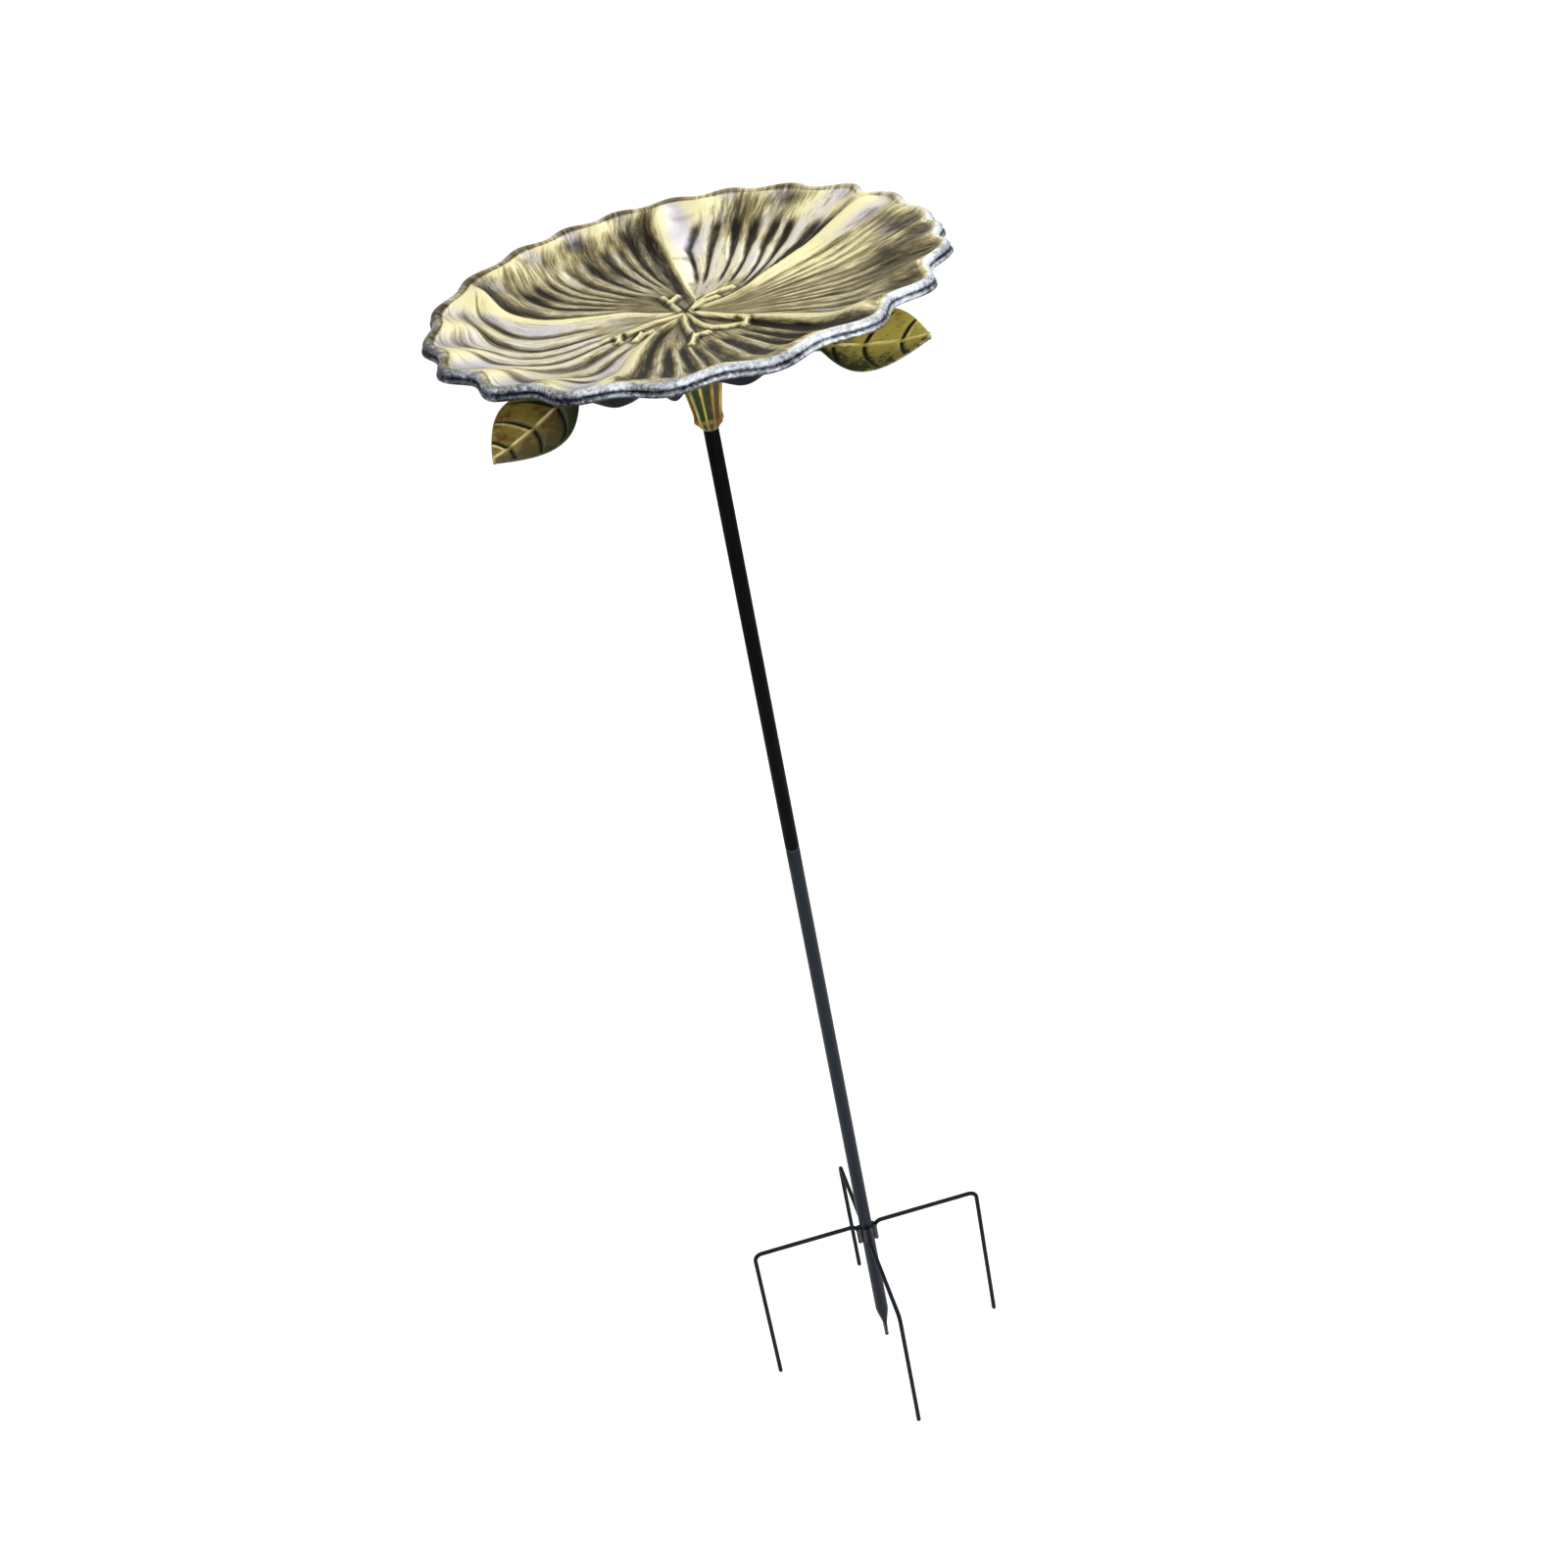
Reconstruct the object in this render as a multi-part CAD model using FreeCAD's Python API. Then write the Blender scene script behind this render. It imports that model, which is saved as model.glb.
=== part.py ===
"""Hibiscus dish bird feeder on a two-piece garden pole.

A cast dish shaped like an open flower screws down on a stud at the top of a thin steel tube. The
same stud holds two cast leaves and a fluted socket to the tube. The tube is in two lengths that
screw together, and the lower one ends in a pinched point between four bent wire prongs.
Millimetres, +Z up. The origin is on the tube's axis, level with the tips of the prongs.
"""

import FreeCAD, Part

import math
import os

Vec = FreeCAD.Vector
UP = Vec(0, 0, 1)

# ---- driving dimensions --------------------------------------------------------------------
TUBE_R = 4.75                # 3/8 inch tube
TUBE_BORE_R = 3.55
SPIKE_TIP_Z = 7.0
SPIKE_NARROW_Z = 18.0        # below this the point is fully pinched
SPIKE_START_Z = 36.0         # above this the tube is round
SPIKE_BORE_END_Z = 42.0
SPIKE_HALF_THICK = 1.5
SPIKE_HALF_WIDE = 4.4
SPIKE_TIP_HALF_WIDE = 2.2

JOINT_Z = 467.0              # where the two tubes meet, at the upper tube's end
SPRING_WASHER_T = 1.2
SPRING_WASHER_R = 4.3
SPRING_WASHER_GAP = 0.8
TUBE_TOP_Z = 784.0

STUD_R = 2.5                 # M5 thread
THREAD_CLEARANCE = 0.05      # radial, where a stud turns in the thread it is unscrewed from
INSERT_LEN = 20.0
STUD_REACH = 17.0            # how far a stud enters the insert below it
WASHER_PLAY = 0.35           # radial, between a washer and the stud
NUT_FLATS = 8.0
NUT_T = 4.0

WIRE_R = 1.6
PRONG_PCD = 172.0
WIRE_BEND_R = 5.6            # centreline radius of every bend
SIDE_ARM_Z = 123.0
FRONT_ARM_Z = 108.0
LEG_LEN = 16.5               # the part of each wire that lies along the tube
PRONGS = {                   # arm height, leg above the arm, turn about +Z in degrees
    "prong_wire_right": (SIDE_ARM_Z, False, 0.0),
    "prong_wire_back": (FRONT_ARM_Z, True, 90.0),
    "prong_wire_left": (SIDE_ARM_Z, False, 180.0),
    "prong_wire_front": (FRONT_ARM_Z, True, 270.0),
}
WELD_R = 1.6
WELD_LEN = 10.0

SOCKET_R = 5.05              # the calyx slips over the tube
CALYX_BOTTOM_Z = 773.0
CALYX_TOP_Z = 815.0
CALYX_BOTTOM_R = 6.3
CALYX_TOP_R = 15.5
CALYX_RIBS = 10
CALYX_RIB_DEPTH = 0.9

LEAF_T = 3.2
LEAF_LEN = 68.0
LEAF_HALF_WIDE = 32.0
LEAF_CUP = 0.13              # how far each edge rises, as a share of the width it is at
LEAF_SAG = 2.8               # how far the middle of the blade lies below its ends
LEAF_EYE_T = 4.0
LEAF_EYE_R = 7.5
STEM_R = 3.0
FIBRE_WASHER_T = 1.2
FIBRE_WASHER_R = 8.0

RIM_R = 147.3                # mean radius of the middle of the dish's edge
RIM_OVAL = 4.4               # the casting is a little oval ...
RIM_OVAL_DEG = 22.0          # ... with its long axis in this direction
RIM_SHIFT = 2.6              # and sits this far off the pole's axis ...
RIM_SHIFT_DEG = 295.0        # ... in this direction
RIM_Z = 864.6                # mean height of the middle of the edge
RIM_TILT = 0.8               # the edge is higher by this in the direction of the shift
RIM_HALF_H = 3.9
RIM_T = 5.0
DISH_FLOOR_Z = 846.5
DISH_WALL = 4.5
DISH_EYE_R = 14.0            # plain flat centre of the dish
BOSS_BOTTOM_R = 11.0
BOSS_TOP_R = 19.0
SCALLOPS = (                 # direction in degrees, and how far the edge swings out there
    (4.5, 1.0), (21.5, 3.2), (35.5, 5.0), (52.0, 2.8), (67.0, 3.0), (81.5, 2.8), (96.0, 2.6),
    (110.0, 2.9), (124.5, 3.0), (143.0, 2.4), (161.5, 2.2), (181.0, 2.4), (198.0, 3.6), (217.0, 5.0),
    (234.5, 3.8), (256.0, 3.9), (278.0, 4.6), (303.0, 5.0), (323.5, 5.4), (344.0, 3.6), (356.0, 1.4),
)
PETALS = 5
PETAL_LIFT = 1.6
PETAL_TURN = 0.26            # radians, puts the first petal's middle in its place

# ---- worked-out sizes ------------------------------------------------------------------------
EDGE_POINTS = 8 * len(SCALLOPS)
LOWER_TUBE_TOP_Z = JOINT_Z - SPRING_WASHER_T
HEAD_WASHER_Z = TUBE_TOP_Z
NUT_Z = HEAD_WASHER_Z + SPRING_WASHER_T
SOCKET_FLOOR_Z = NUT_Z + NUT_T
LEFT_EYE_Z = CALYX_TOP_Z
RIGHT_EYE_Z = LEFT_EYE_Z + LEAF_EYE_T
FIBRE_WASHER_Z = RIGHT_EYE_Z + LEAF_EYE_T
BOSS_Z = FIBRE_WASHER_Z + FIBRE_WASHER_T
HEAD_STUD_TOP_Z = 838.0


# ---- helpers -----------------------------------------------------------------------------------
def cylinder(radius, low, high, x=0.0, y=0.0):
    return Part.makeCylinder(radius, high - low, Vec(x, y, low), UP)


def tube(outer, inner, low, high):
    return cylinder(outer, low, high).cut(cylinder(inner, low - 1, high + 1))


def polar(radius, angle, height):
    return Vec(radius * math.cos(angle), radius * math.sin(angle), height)


def closed_curve(points):
    curve = Part.BSplineCurve()
    curve.interpolate(Points=points, PeriodicFlag=True)
    return Part.Wire(curve.toShape())


def solid_from_faces(faces):
    shell = Part.Shell(faces)
    shell.sewShape()
    solid = Part.Solid(Part.Shell(shell.Faces))
    if solid.Volume < 0:
        solid.reverse()
    return solid


def one_solid(shape):
    """The solid of a boolean result, without any loose chip."""
    return max(shape.Solids, key=lambda solid: solid.Volume)


def save(node, shape):
    shape.exportStep("parts/" + node + ".step")
    print(node, round(shape.Volume / 1000.0, 3), "cm3", len(shape.Solids), "solid(s)",
          "valid" if shape.isValid() else "NOT VALID")


# ---- lower pole --------------------------------------------------------------------------------
def ellipse_wire(half_x, half_y, height):
    """A closed ring in a level plane, flattened along X."""
    turns = 24
    step = 2 * math.pi / turns
    return closed_curve([Vec(half_x * math.cos(i * step), half_y * math.sin(i * step), height)
                         for i in range(turns)])


def lower_tube():
    """Round tube whose bottom is pinched flat and cut to a blunt point."""
    inside = TUBE_R - 0.05
    rings = [
        ellipse_wire(inside, inside, SPIKE_START_Z + 3),
        ellipse_wire(inside, inside, SPIKE_START_Z),
        ellipse_wire(0.55 * TUBE_R + 0.45 * SPIKE_HALF_THICK, inside, 0.5 * (SPIKE_START_Z + SPIKE_NARROW_Z)),
        ellipse_wire(SPIKE_HALF_THICK, SPIKE_HALF_WIDE, SPIKE_NARROW_Z),
        ellipse_wire(SPIKE_HALF_THICK, SPIKE_TIP_HALF_WIDE, SPIKE_TIP_Z),
    ]
    point = Part.makeLoft(rings, True, True)
    body = cylinder(TUBE_R, SPIKE_START_Z, LOWER_TUBE_TOP_Z)
    body = body.cut(cylinder(TUBE_BORE_R, SPIKE_BORE_END_Z, LOWER_TUBE_TOP_Z + 1))
    return one_solid(body.fuse(point))


def prong_wire(arm_z, leg_up, turn_deg):
    """One wire: a short leg on the tube, an arm out from it and a prong down to the ground."""
    leg_x = TUBE_R + WIRE_R
    prong_x = PRONG_PCD / 2.0
    side = 1.0 if leg_up else -1.0
    bend = WIRE_BEND_R
    path = [
        Part.LineSegment(Vec(leg_x, 0, arm_z + side * LEG_LEN), Vec(leg_x, 0, arm_z + side * bend)),
        bend_arc(Vec(leg_x, 0, arm_z), Vec(0, 0, side), Vec(1, 0, 0)),
        Part.LineSegment(Vec(leg_x + bend, 0, arm_z), Vec(prong_x - bend, 0, arm_z)),
        bend_arc(Vec(prong_x, 0, arm_z), Vec(-1, 0, 0), Vec(0, 0, -1)),
        Part.LineSegment(Vec(prong_x, 0, arm_z - bend), Vec(prong_x, 0, WIRE_R)),
    ]
    spine = Part.Wire([piece.toShape() for piece in path])
    start = Part.Wire(Part.Circle(Vec(leg_x, 0, arm_z + side * LEG_LEN), UP, WIRE_R).toShape())
    wire = spine.makePipeShell([start], True, True)
    tip = Part.makeSphere(WIRE_R, Vec(prong_x, 0, WIRE_R))
    wire = one_solid(wire.fuse(tip))
    wire.rotate(Vec(0, 0, 0), UP, turn_deg)
    return wire


def bend_arc(corner, toward_start, toward_end):
    """A quarter bend that rounds a corner between two directions."""
    first = corner + toward_start * WIRE_BEND_R
    last = corner + toward_end * WIRE_BEND_R
    centre = first + toward_end * WIRE_BEND_R
    middle = centre + (corner - centre).normalize() * WIRE_BEND_R
    return Part.Arc(first, middle, last)


def weld_beads(wires, tube_shape):
    """Two runs of weld beside each wire's leg, cut to fit the wire and the tube."""
    beads = []
    for arm_z, leg_up, turn_deg in PRONGS.values():
        side = 1.0 if leg_up else -1.0
        low = arm_z + side * 0.5 * LEG_LEN - 0.5 * WELD_LEN
        high = low + WELD_LEN
        for across in (-2.3, 2.3):
            bead = cylinder(WELD_R, low, high, TUBE_R + 0.75, across)
            for end in (low, high):
                bead = bead.fuse(Part.makeSphere(WELD_R, Vec(TUBE_R + 0.75, across, end)))
            bead.rotate(Vec(0, 0, 0), UP, turn_deg)
            for other in (tube_shape, *wires, cylinder(TUBE_R, low - 5, high + 5)):
                bead = bead.cut(other)
            beads.append(one_solid(bead))
    return Part.makeCompound(beads)


# ---- the two screw joints ----------------------------------------------------------------------
def insert(low, play=0.0):
    """Steel plug pressed into a tube's end, tapped through for the stud."""
    return tube(TUBE_BORE_R, STUD_R + play, low, low + INSERT_LEN)


def spring_washer(low):
    """Split washer with its ends at the same level, as when the joint is tight."""
    ring = tube(SPRING_WASHER_R, STUD_R + WASHER_PLAY, low, low + SPRING_WASHER_T)
    gap = Part.makeBox(SPRING_WASHER_R + 1, SPRING_WASHER_GAP, SPRING_WASHER_T + 1,
                       Vec(0, -0.5 * SPRING_WASHER_GAP, low - 0.5))
    return ring.cut(gap)


def hex_nut():
    corner = NUT_FLATS / math.sqrt(3)
    points = [polar(corner, math.radians(60 * i), NUT_Z) for i in range(7)]
    body = Part.Face(Part.makePolygon(points)).extrude(Vec(0, 0, NUT_T))
    return body.cut(cylinder(STUD_R, NUT_Z - 1, NUT_Z + NUT_T + 1))


# ---- head --------------------------------------------------------------------------------------
def calyx_socket():
    """Fluted bell that flares from the tube up to the leaves, with a socket for the tube."""
    rings = []
    levels = 6
    for level in range(levels):
        share = level / (levels - 1)
        height = CALYX_BOTTOM_Z + share * (CALYX_TOP_Z - CALYX_BOTTOM_Z)
        radius = CALYX_BOTTOM_R + (CALYX_TOP_R - CALYX_BOTTOM_R) * share ** 1.25
        turns = CALYX_RIBS * 8
        points = []
        for i in range(turns):
            angle = 2 * math.pi * i / turns
            rib = CALYX_RIB_DEPTH * (0.35 + 0.65 * share) * math.cos(CALYX_RIBS * angle)
            points.append(polar(radius + rib, angle, height))
        rings.append(closed_curve(points))
    bell = Part.makeLoft(rings, True, False)
    bell = bell.cut(cylinder(SOCKET_R, CALYX_BOTTOM_Z - 1, SOCKET_FLOOR_Z))
    return bell.cut(cylinder(STUD_R, SOCKET_FLOOR_Z - 1, CALYX_TOP_Z + 1))


def leaf(eye_z, heading_deg, tip_reach, tip_z, dip_deg, roll_deg):
    """Cast leaf: an eye on the stud, a straight stem and a cupped oval blade."""
    dip = math.radians(dip_deg)
    stations = 12
    rings = []
    for i in range(stations):
        share = 0.02 + 0.965 * math.sin(0.5 * math.pi * i / (stations - 1))
        back = LEAF_LEN * (1 - share)
        sag = 4 * LEAF_SAG * share * (1 - share)
        rings.append(leaf_section(tip_reach - back * math.cos(dip), leaf_half_width(share),
                                  tip_z + back * math.sin(dip) - sag, roll_deg))
    blade = Part.makeLoft(rings, True, False)
    base_reach = tip_reach - 0.92 * LEAF_LEN * math.cos(dip)
    base_z = tip_z + 0.92 * LEAF_LEN * math.sin(dip) - 0.3 * LEAF_SAG
    stem_from = Vec(0, 0, eye_z + 0.5 * LEAF_EYE_T)
    run = Vec(base_reach, 0, base_z) - stem_from
    stem = Part.makeCone(0.62 * STEM_R, 0.8 * STEM_R, run.Length, stem_from, run)
    keep = Part.makeBox(200, 200, 100, Vec(0, -100, eye_z)).fuse(
        Part.makeBox(200, 200, 100, Vec(LEAF_EYE_R + 3, -100, eye_z - 50)))
    stem = stem.common(keep)
    eye = cylinder(LEAF_EYE_R, eye_z, eye_z + LEAF_EYE_T)
    above = cylinder(LEAF_EYE_R + 2.5, eye_z + LEAF_EYE_T, eye_z + 40)
    whole = blade.fuse(stem).cut(above).fuse(eye)
    whole = one_solid(whole.cut(cylinder(STUD_R, eye_z - 20, eye_z + 30)))
    whole.rotate(Vec(0, 0, 0), UP, heading_deg)
    return whole


def leaf_half_width(share):
    """Half the blade's width from its stem (0) to its tip (1)."""
    return max(LEAF_HALF_WIDE * math.sin(math.pi * share ** 1.07) ** 0.95, 1.8)


def leaf_section(along, half_wide, height, roll_deg):
    """Closed cross-section: a little cupped, and rounded at both edges."""
    roll = math.tan(math.radians(roll_deg))
    count = 8
    top = []
    bottom = []
    for i in range(count + 1):
        across = math.cos(math.pi * i / count)
        y = half_wide * across
        z = height + LEAF_CUP * half_wide * across * across + roll * y
        thick = LEAF_T * (0.25 + 0.75 * math.sqrt(max(1 - across * across, 0)))
        top.append(Vec(along, y, z + 0.5 * thick))
        bottom.append(Vec(along, y, z - 0.5 * thick))
    return closed_curve(top + bottom[::-1])


def swing(angle):
    """How far the edge swings out or in, in millimetres, from its oval."""
    turn = math.degrees(angle) % 360.0
    ends = ((SCALLOPS[-1][0] - 360.0, SCALLOPS[-1][1]), *SCALLOPS, (SCALLOPS[0][0] + 360.0, SCALLOPS[0][1]))
    for (first, first_out), (last, last_out) in zip(ends, ends[1:]):
        if first <= turn < last:
            share = (turn - first) / (last - first)
            return (first_out + share * (last_out - first_out)) * math.cos(2 * math.pi * share)


def rim_radius(angle):
    oval = RIM_OVAL * math.cos(2 * (angle - math.radians(RIM_OVAL_DEG)))
    shift = RIM_SHIFT * math.cos(angle - math.radians(RIM_SHIFT_DEG))
    return RIM_R + oval + shift + swing(angle)


def rim_height(angle):
    return RIM_Z + RIM_TILT * math.cos(angle - math.radians(RIM_SHIFT_DEG))


def petal_wave(angle):
    return math.cos(PETALS * (angle - PETAL_TURN))


def dish_ring(share, drop, outset=0.0, lift=0.0):
    """A closed ring of the dish at a share of the rim's radius."""
    points = []
    for i in range(EDGE_POINTS):
        angle = 2 * math.pi * i / EDGE_POINTS
        reach = rim_radius(angle)
        fade = max(0.0, (share - 0.55) / 0.45) ** 2
        plain = RIM_R * share
        radius = plain + fade * (reach - RIM_R) + outset
        climb = RIM_Z + 1.5 - DISH_FLOOR_Z
        height = DISH_FLOOR_Z + climb * share ** 2.4 + fade * (rim_height(angle) - RIM_Z)
        past_eye = (share - DISH_EYE_R / RIM_R) / (1 - DISH_EYE_R / RIM_R)
        height += PETAL_LIFT * petal_wave(angle) * math.sin(math.pi * past_eye) ** 2
        points.append(polar(radius, angle, height - drop + lift))
    return closed_curve(points)


def flower_dish():
    """Shallow scalloped dish with a thick edge, and a tapped boss under its middle."""
    eye = DISH_EYE_R / RIM_R
    shares = (eye, 0.25, 0.42, 0.6, 0.76, 0.88)
    inner = [dish_ring(share, 0.0) for share in shares] + [dish_ring(0.97, 0.0, 0.0, 1.2)]
    outer = [dish_ring(share, DISH_WALL) for share in shares] + [dish_ring(0.97, DISH_WALL + 1.0)]
    edge_in = dish_ring(1.0, 0.0, -0.5 * RIM_T + 1.5, RIM_HALF_H - 1.4)
    edge_top = dish_ring(1.0, 0.0, 0.5 * RIM_T, RIM_HALF_H - 2.2)
    edge_low = dish_ring(1.0, 0.0, 0.5 * RIM_T - 0.6, -RIM_HALF_H - 1.8)
    faces = []
    for rings, smooth in ((inner, True), ([inner[-1], edge_in], False), ([edge_in, edge_top], False),
                          ([edge_top, edge_low], False), ([edge_low, outer[-1]], False), (outer, True)):
        faces += Part.makeLoft(rings, False, not smooth).Faces
    faces.append(Part.Face(inner[0]))
    faces.append(Part.Face(outer[0]))
    shell = solid_from_faces(faces)
    boss = Part.makeCone(BOSS_BOTTOM_R, BOSS_TOP_R, DISH_FLOOR_Z - 2.0 - BOSS_Z, Vec(0, 0, BOSS_Z), UP)
    whole = one_solid(shell.fuse(boss))
    return one_solid(whole.cut(cylinder(STUD_R + THREAD_CLEARANCE, BOSS_Z - 1, HEAD_STUD_TOP_Z)))


# ---- every node --------------------------------------------------------------------------------
def main():
    os.makedirs("parts", exist_ok=True)
    lower = lower_tube()
    wires = {node: prong_wire(*facts) for node, facts in PRONGS.items()}
    save("lower_tube", lower)
    for node, wire in wires.items():
        save(node, wire)
    save("weld_beads", weld_beads(wires.values(), lower))
    save("lower_insert", insert(LOWER_TUBE_TOP_Z - INSERT_LEN, THREAD_CLEARANCE))

    save("joint_spring_washer", spring_washer(LOWER_TUBE_TOP_Z))
    save("upper_tube", tube(TUBE_R, TUBE_BORE_R, JOINT_Z, TUBE_TOP_Z))
    save("upper_insert", insert(JOINT_Z))
    save("joint_stud", cylinder(STUD_R, LOWER_TUBE_TOP_Z - STUD_REACH, JOINT_Z + INSERT_LEN - 1))
    save("top_insert", insert(TUBE_TOP_Z - INSERT_LEN))

    save("head_spring_washer", spring_washer(HEAD_WASHER_Z))
    save("head_stud", cylinder(STUD_R, TUBE_TOP_Z - STUD_REACH, HEAD_STUD_TOP_Z))
    save("head_nut", hex_nut())
    save("calyx_socket", calyx_socket())
    save("leaf_left", leaf(LEFT_EYE_Z, 202.0, 142.2, 808.7, 20.0, -5.0))
    save("leaf_right", leaf(RIGHT_EYE_Z, 333.0, 140.9, 823.6, -2.0, 9.0))
    save("fibre_washer", tube(FIBRE_WASHER_R, STUD_R + WASHER_PLAY, FIBRE_WASHER_Z, BOSS_Z))
    save("flower_dish", flower_dish())


main()
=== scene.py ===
import math

import bpy
import numpy as np
from mathutils import Matrix, Vector


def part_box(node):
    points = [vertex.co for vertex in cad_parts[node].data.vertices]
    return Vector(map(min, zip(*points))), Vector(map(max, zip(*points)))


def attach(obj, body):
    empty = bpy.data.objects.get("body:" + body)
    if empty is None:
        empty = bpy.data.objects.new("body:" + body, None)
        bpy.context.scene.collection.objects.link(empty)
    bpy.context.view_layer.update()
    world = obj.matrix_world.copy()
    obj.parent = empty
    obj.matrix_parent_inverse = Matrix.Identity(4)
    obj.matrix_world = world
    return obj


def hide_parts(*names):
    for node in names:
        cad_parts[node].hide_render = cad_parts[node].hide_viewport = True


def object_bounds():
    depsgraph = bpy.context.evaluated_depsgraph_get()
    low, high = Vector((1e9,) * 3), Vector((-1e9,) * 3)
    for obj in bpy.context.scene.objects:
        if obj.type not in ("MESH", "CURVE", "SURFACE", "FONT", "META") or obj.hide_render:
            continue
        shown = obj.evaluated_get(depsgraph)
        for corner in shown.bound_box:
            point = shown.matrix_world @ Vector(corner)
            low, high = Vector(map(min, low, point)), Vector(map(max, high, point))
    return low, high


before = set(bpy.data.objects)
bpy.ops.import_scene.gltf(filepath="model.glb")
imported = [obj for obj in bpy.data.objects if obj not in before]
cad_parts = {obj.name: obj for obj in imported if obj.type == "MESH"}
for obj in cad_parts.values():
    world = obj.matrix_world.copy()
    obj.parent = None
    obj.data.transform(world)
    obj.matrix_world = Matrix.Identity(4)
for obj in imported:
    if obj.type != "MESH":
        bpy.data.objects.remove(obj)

CAD_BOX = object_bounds()
MM = 0.001
TAU = 2 * math.pi

bl_info = {
    "name": "Hibiscus dish bird feeder",
    "version": (1, 0, 0),
    "blender": (4, 5, 0),
    "location": "3D View > Sidebar > Feeder",
    "description": "Models a cast flower dish on a two-piece garden pole with wire prongs",
    "category": "Object",
}

# ---- sizes read from the frame -----------------------------------------------------------------
UPPER_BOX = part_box("upper_tube")
LOWER_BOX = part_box("lower_tube")
CALYX_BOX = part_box("calyx_socket")
TUBE_R = (UPPER_BOX[1].x - UPPER_BOX[0].x) / 2
POLE_TOP = UPPER_BOX[1].z
POLE_JOINT = UPPER_BOX[0].z
LOWER_TOP = LOWER_BOX[1].z
SPIKE_TIP = LOWER_BOX[0].z
WIRE_R = (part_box("prong_wire_front")[1].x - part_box("prong_wire_front")[0].x) / 2
PRONG_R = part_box("prong_wire_right")[1].x - WIRE_R

# Stock sizes and the maker's fixed ones, in mm.
STUD_R = 2.5
THREAD_PITCH = 0.8
THREAD_DEPTH = 0.54          # of the pitch
TUBE_BORE_R = 3.55
LEAF_EYE_R = 7.5
LEAF_EYE_THICK = 4.0
PRONG_LEG = 16.5             # the part of each wire welded to the tube
PRONG_BEND = 5.6
CALYX_RIBS = 10

# The camera looks down at the dish from in front and leans over to one side.
CAMERA_AT = (-0.1667, -1.2857, 1.3441)
CAMERA_RISE, CAMERA_LEAN, CAMERA_AROUND = 32.53, -10.95, -7.5       # degrees
CAMERA_LENS = 54.04


# ---- sizes and colours a user would change -------------------------------------------------------
def length(name, description, default, high=1.0):
    return bpy.props.FloatProperty(name=name, description=description, default=default, min=0.0, max=high,
                                   subtype="DISTANCE", unit="LENGTH", precision=4)


def tint(name, description, default):
    return bpy.props.FloatVectorProperty(name=name, description=description, default=default, size=3,
                                         min=0.0, max=1.0, subtype="COLOR")


class DishSizes(bpy.types.PropertyGroup):
    rim_radius: length("Rim radius", "Mean radius of the outside of the wavy edge", 0.1498)
    floor_height: length("Floor height", "Height of the dish's middle above the prong tips", 0.8465, 2.0)
    rim_height: length("Rim height", "Height of the top of the edge above the prong tips", 0.8680, 2.0)
    oval: length("Oval", "How much longer the dish's long half-axis is than its mean radius", 0.0044, 0.02)
    shift: length("Shift", "How far the casting sits off the pole's axis", 0.0026, 0.02)
    tilt: length("Tilt", "How much higher the edge is on the side it is shifted to", 0.0008, 0.02)
    flute_depth: length("Flute depth", "Depth of the grooves in the petals", 0.0018, 0.01)
    ridge_height: length("Ridge height", "Height of the rolled petal edges", 0.0034, 0.01)
    stamen_height: length("Stamen height", "Height of the stamens above the floor", 0.0023, 0.01)
    wall: length("Wall", "Thickness of the casting", 0.0046, 0.02)


class LeafSizes(bpy.types.PropertyGroup):
    blade: length("Blade", "Length of the blade without its stem", 0.0680)
    half_width: length("Half width", "Half of the blade's greatest width", 0.0320)
    sag: length("Sag", "How far the middle of the blade hangs below its ends", 0.0028, 0.02)
    thickness: length("Thickness", "Thickness of the leaf's blade", 0.0032, 0.01)
    rib_height: length("Rib height", "Height of the midrib", 0.0012, 0.01)
    vein_depth: length("Vein depth", "Depth of the side veins", 0.0012, 0.01)


class FeederColours(bpy.types.PropertyGroup):
    # cream is also the painted highlight on the ridges and stamens, and patina also the painted shade in the
    # hollows
    cream: tint("Cream", "Pale gold wash on the high parts of the dish", (0.65, 0.60, 0.345))
    khaki: tint("Khaki", "Rubbed middle tone of the dish", (0.33, 0.285, 0.145))
    olive: tint("Olive", "Deeper middle tone of the dish", (0.15, 0.122, 0.056))
    patina: tint("Patina", "Dark wash left in the dish's hollows", (0.008, 0.006, 0.003))
    lilac: tint("Lilac grey", "Cool grey sheen of the dish's flutes", (0.41, 0.385, 0.415))
    # silver and ink also carry the painted highlight and shade round the rolled edge
    silver: tint("Silver", "Rubbed blue-grey of the outer edge", (0.47, 0.51, 0.57))
    ink: tint("Ink", "Blue-black under the outer edge", (0.003, 0.004, 0.006))
    gold: tint("Antique gold", "Leaves and calyx", (0.66, 0.54, 0.095))
    bronze: tint("Bronze", "Brown patches of the leaves and calyx", (0.17, 0.085, 0.016))
    # moss is also the painted shade on the leaves' shaded half, stem end, edges and undersides
    moss: tint("Moss", "Dark green wash on the leaves", (0.010, 0.013, 0.003))
    black: tint("Black", "Paint of the upper tube", (0.0015, 0.0015, 0.0015))
    slate: tint("Slate", "Paint of the lower tube and the wires", (0.0060, 0.0088, 0.0135))
    zinc: tint("Zinc", "Plated screws and plugs", (0.50, 0.50, 0.47))
    fibre: tint("Fibre", "Red-brown fibre washer", (0.20, 0.055, 0.03))


class StageSettings(bpy.types.PropertyGroup):
    floor_tint: tint("Floor", "Colour of the floor", (0.96, 0.96, 0.96))
    floor_size: length("Floor size", "Side of the floor plate", 14.0, 40.0)


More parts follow.
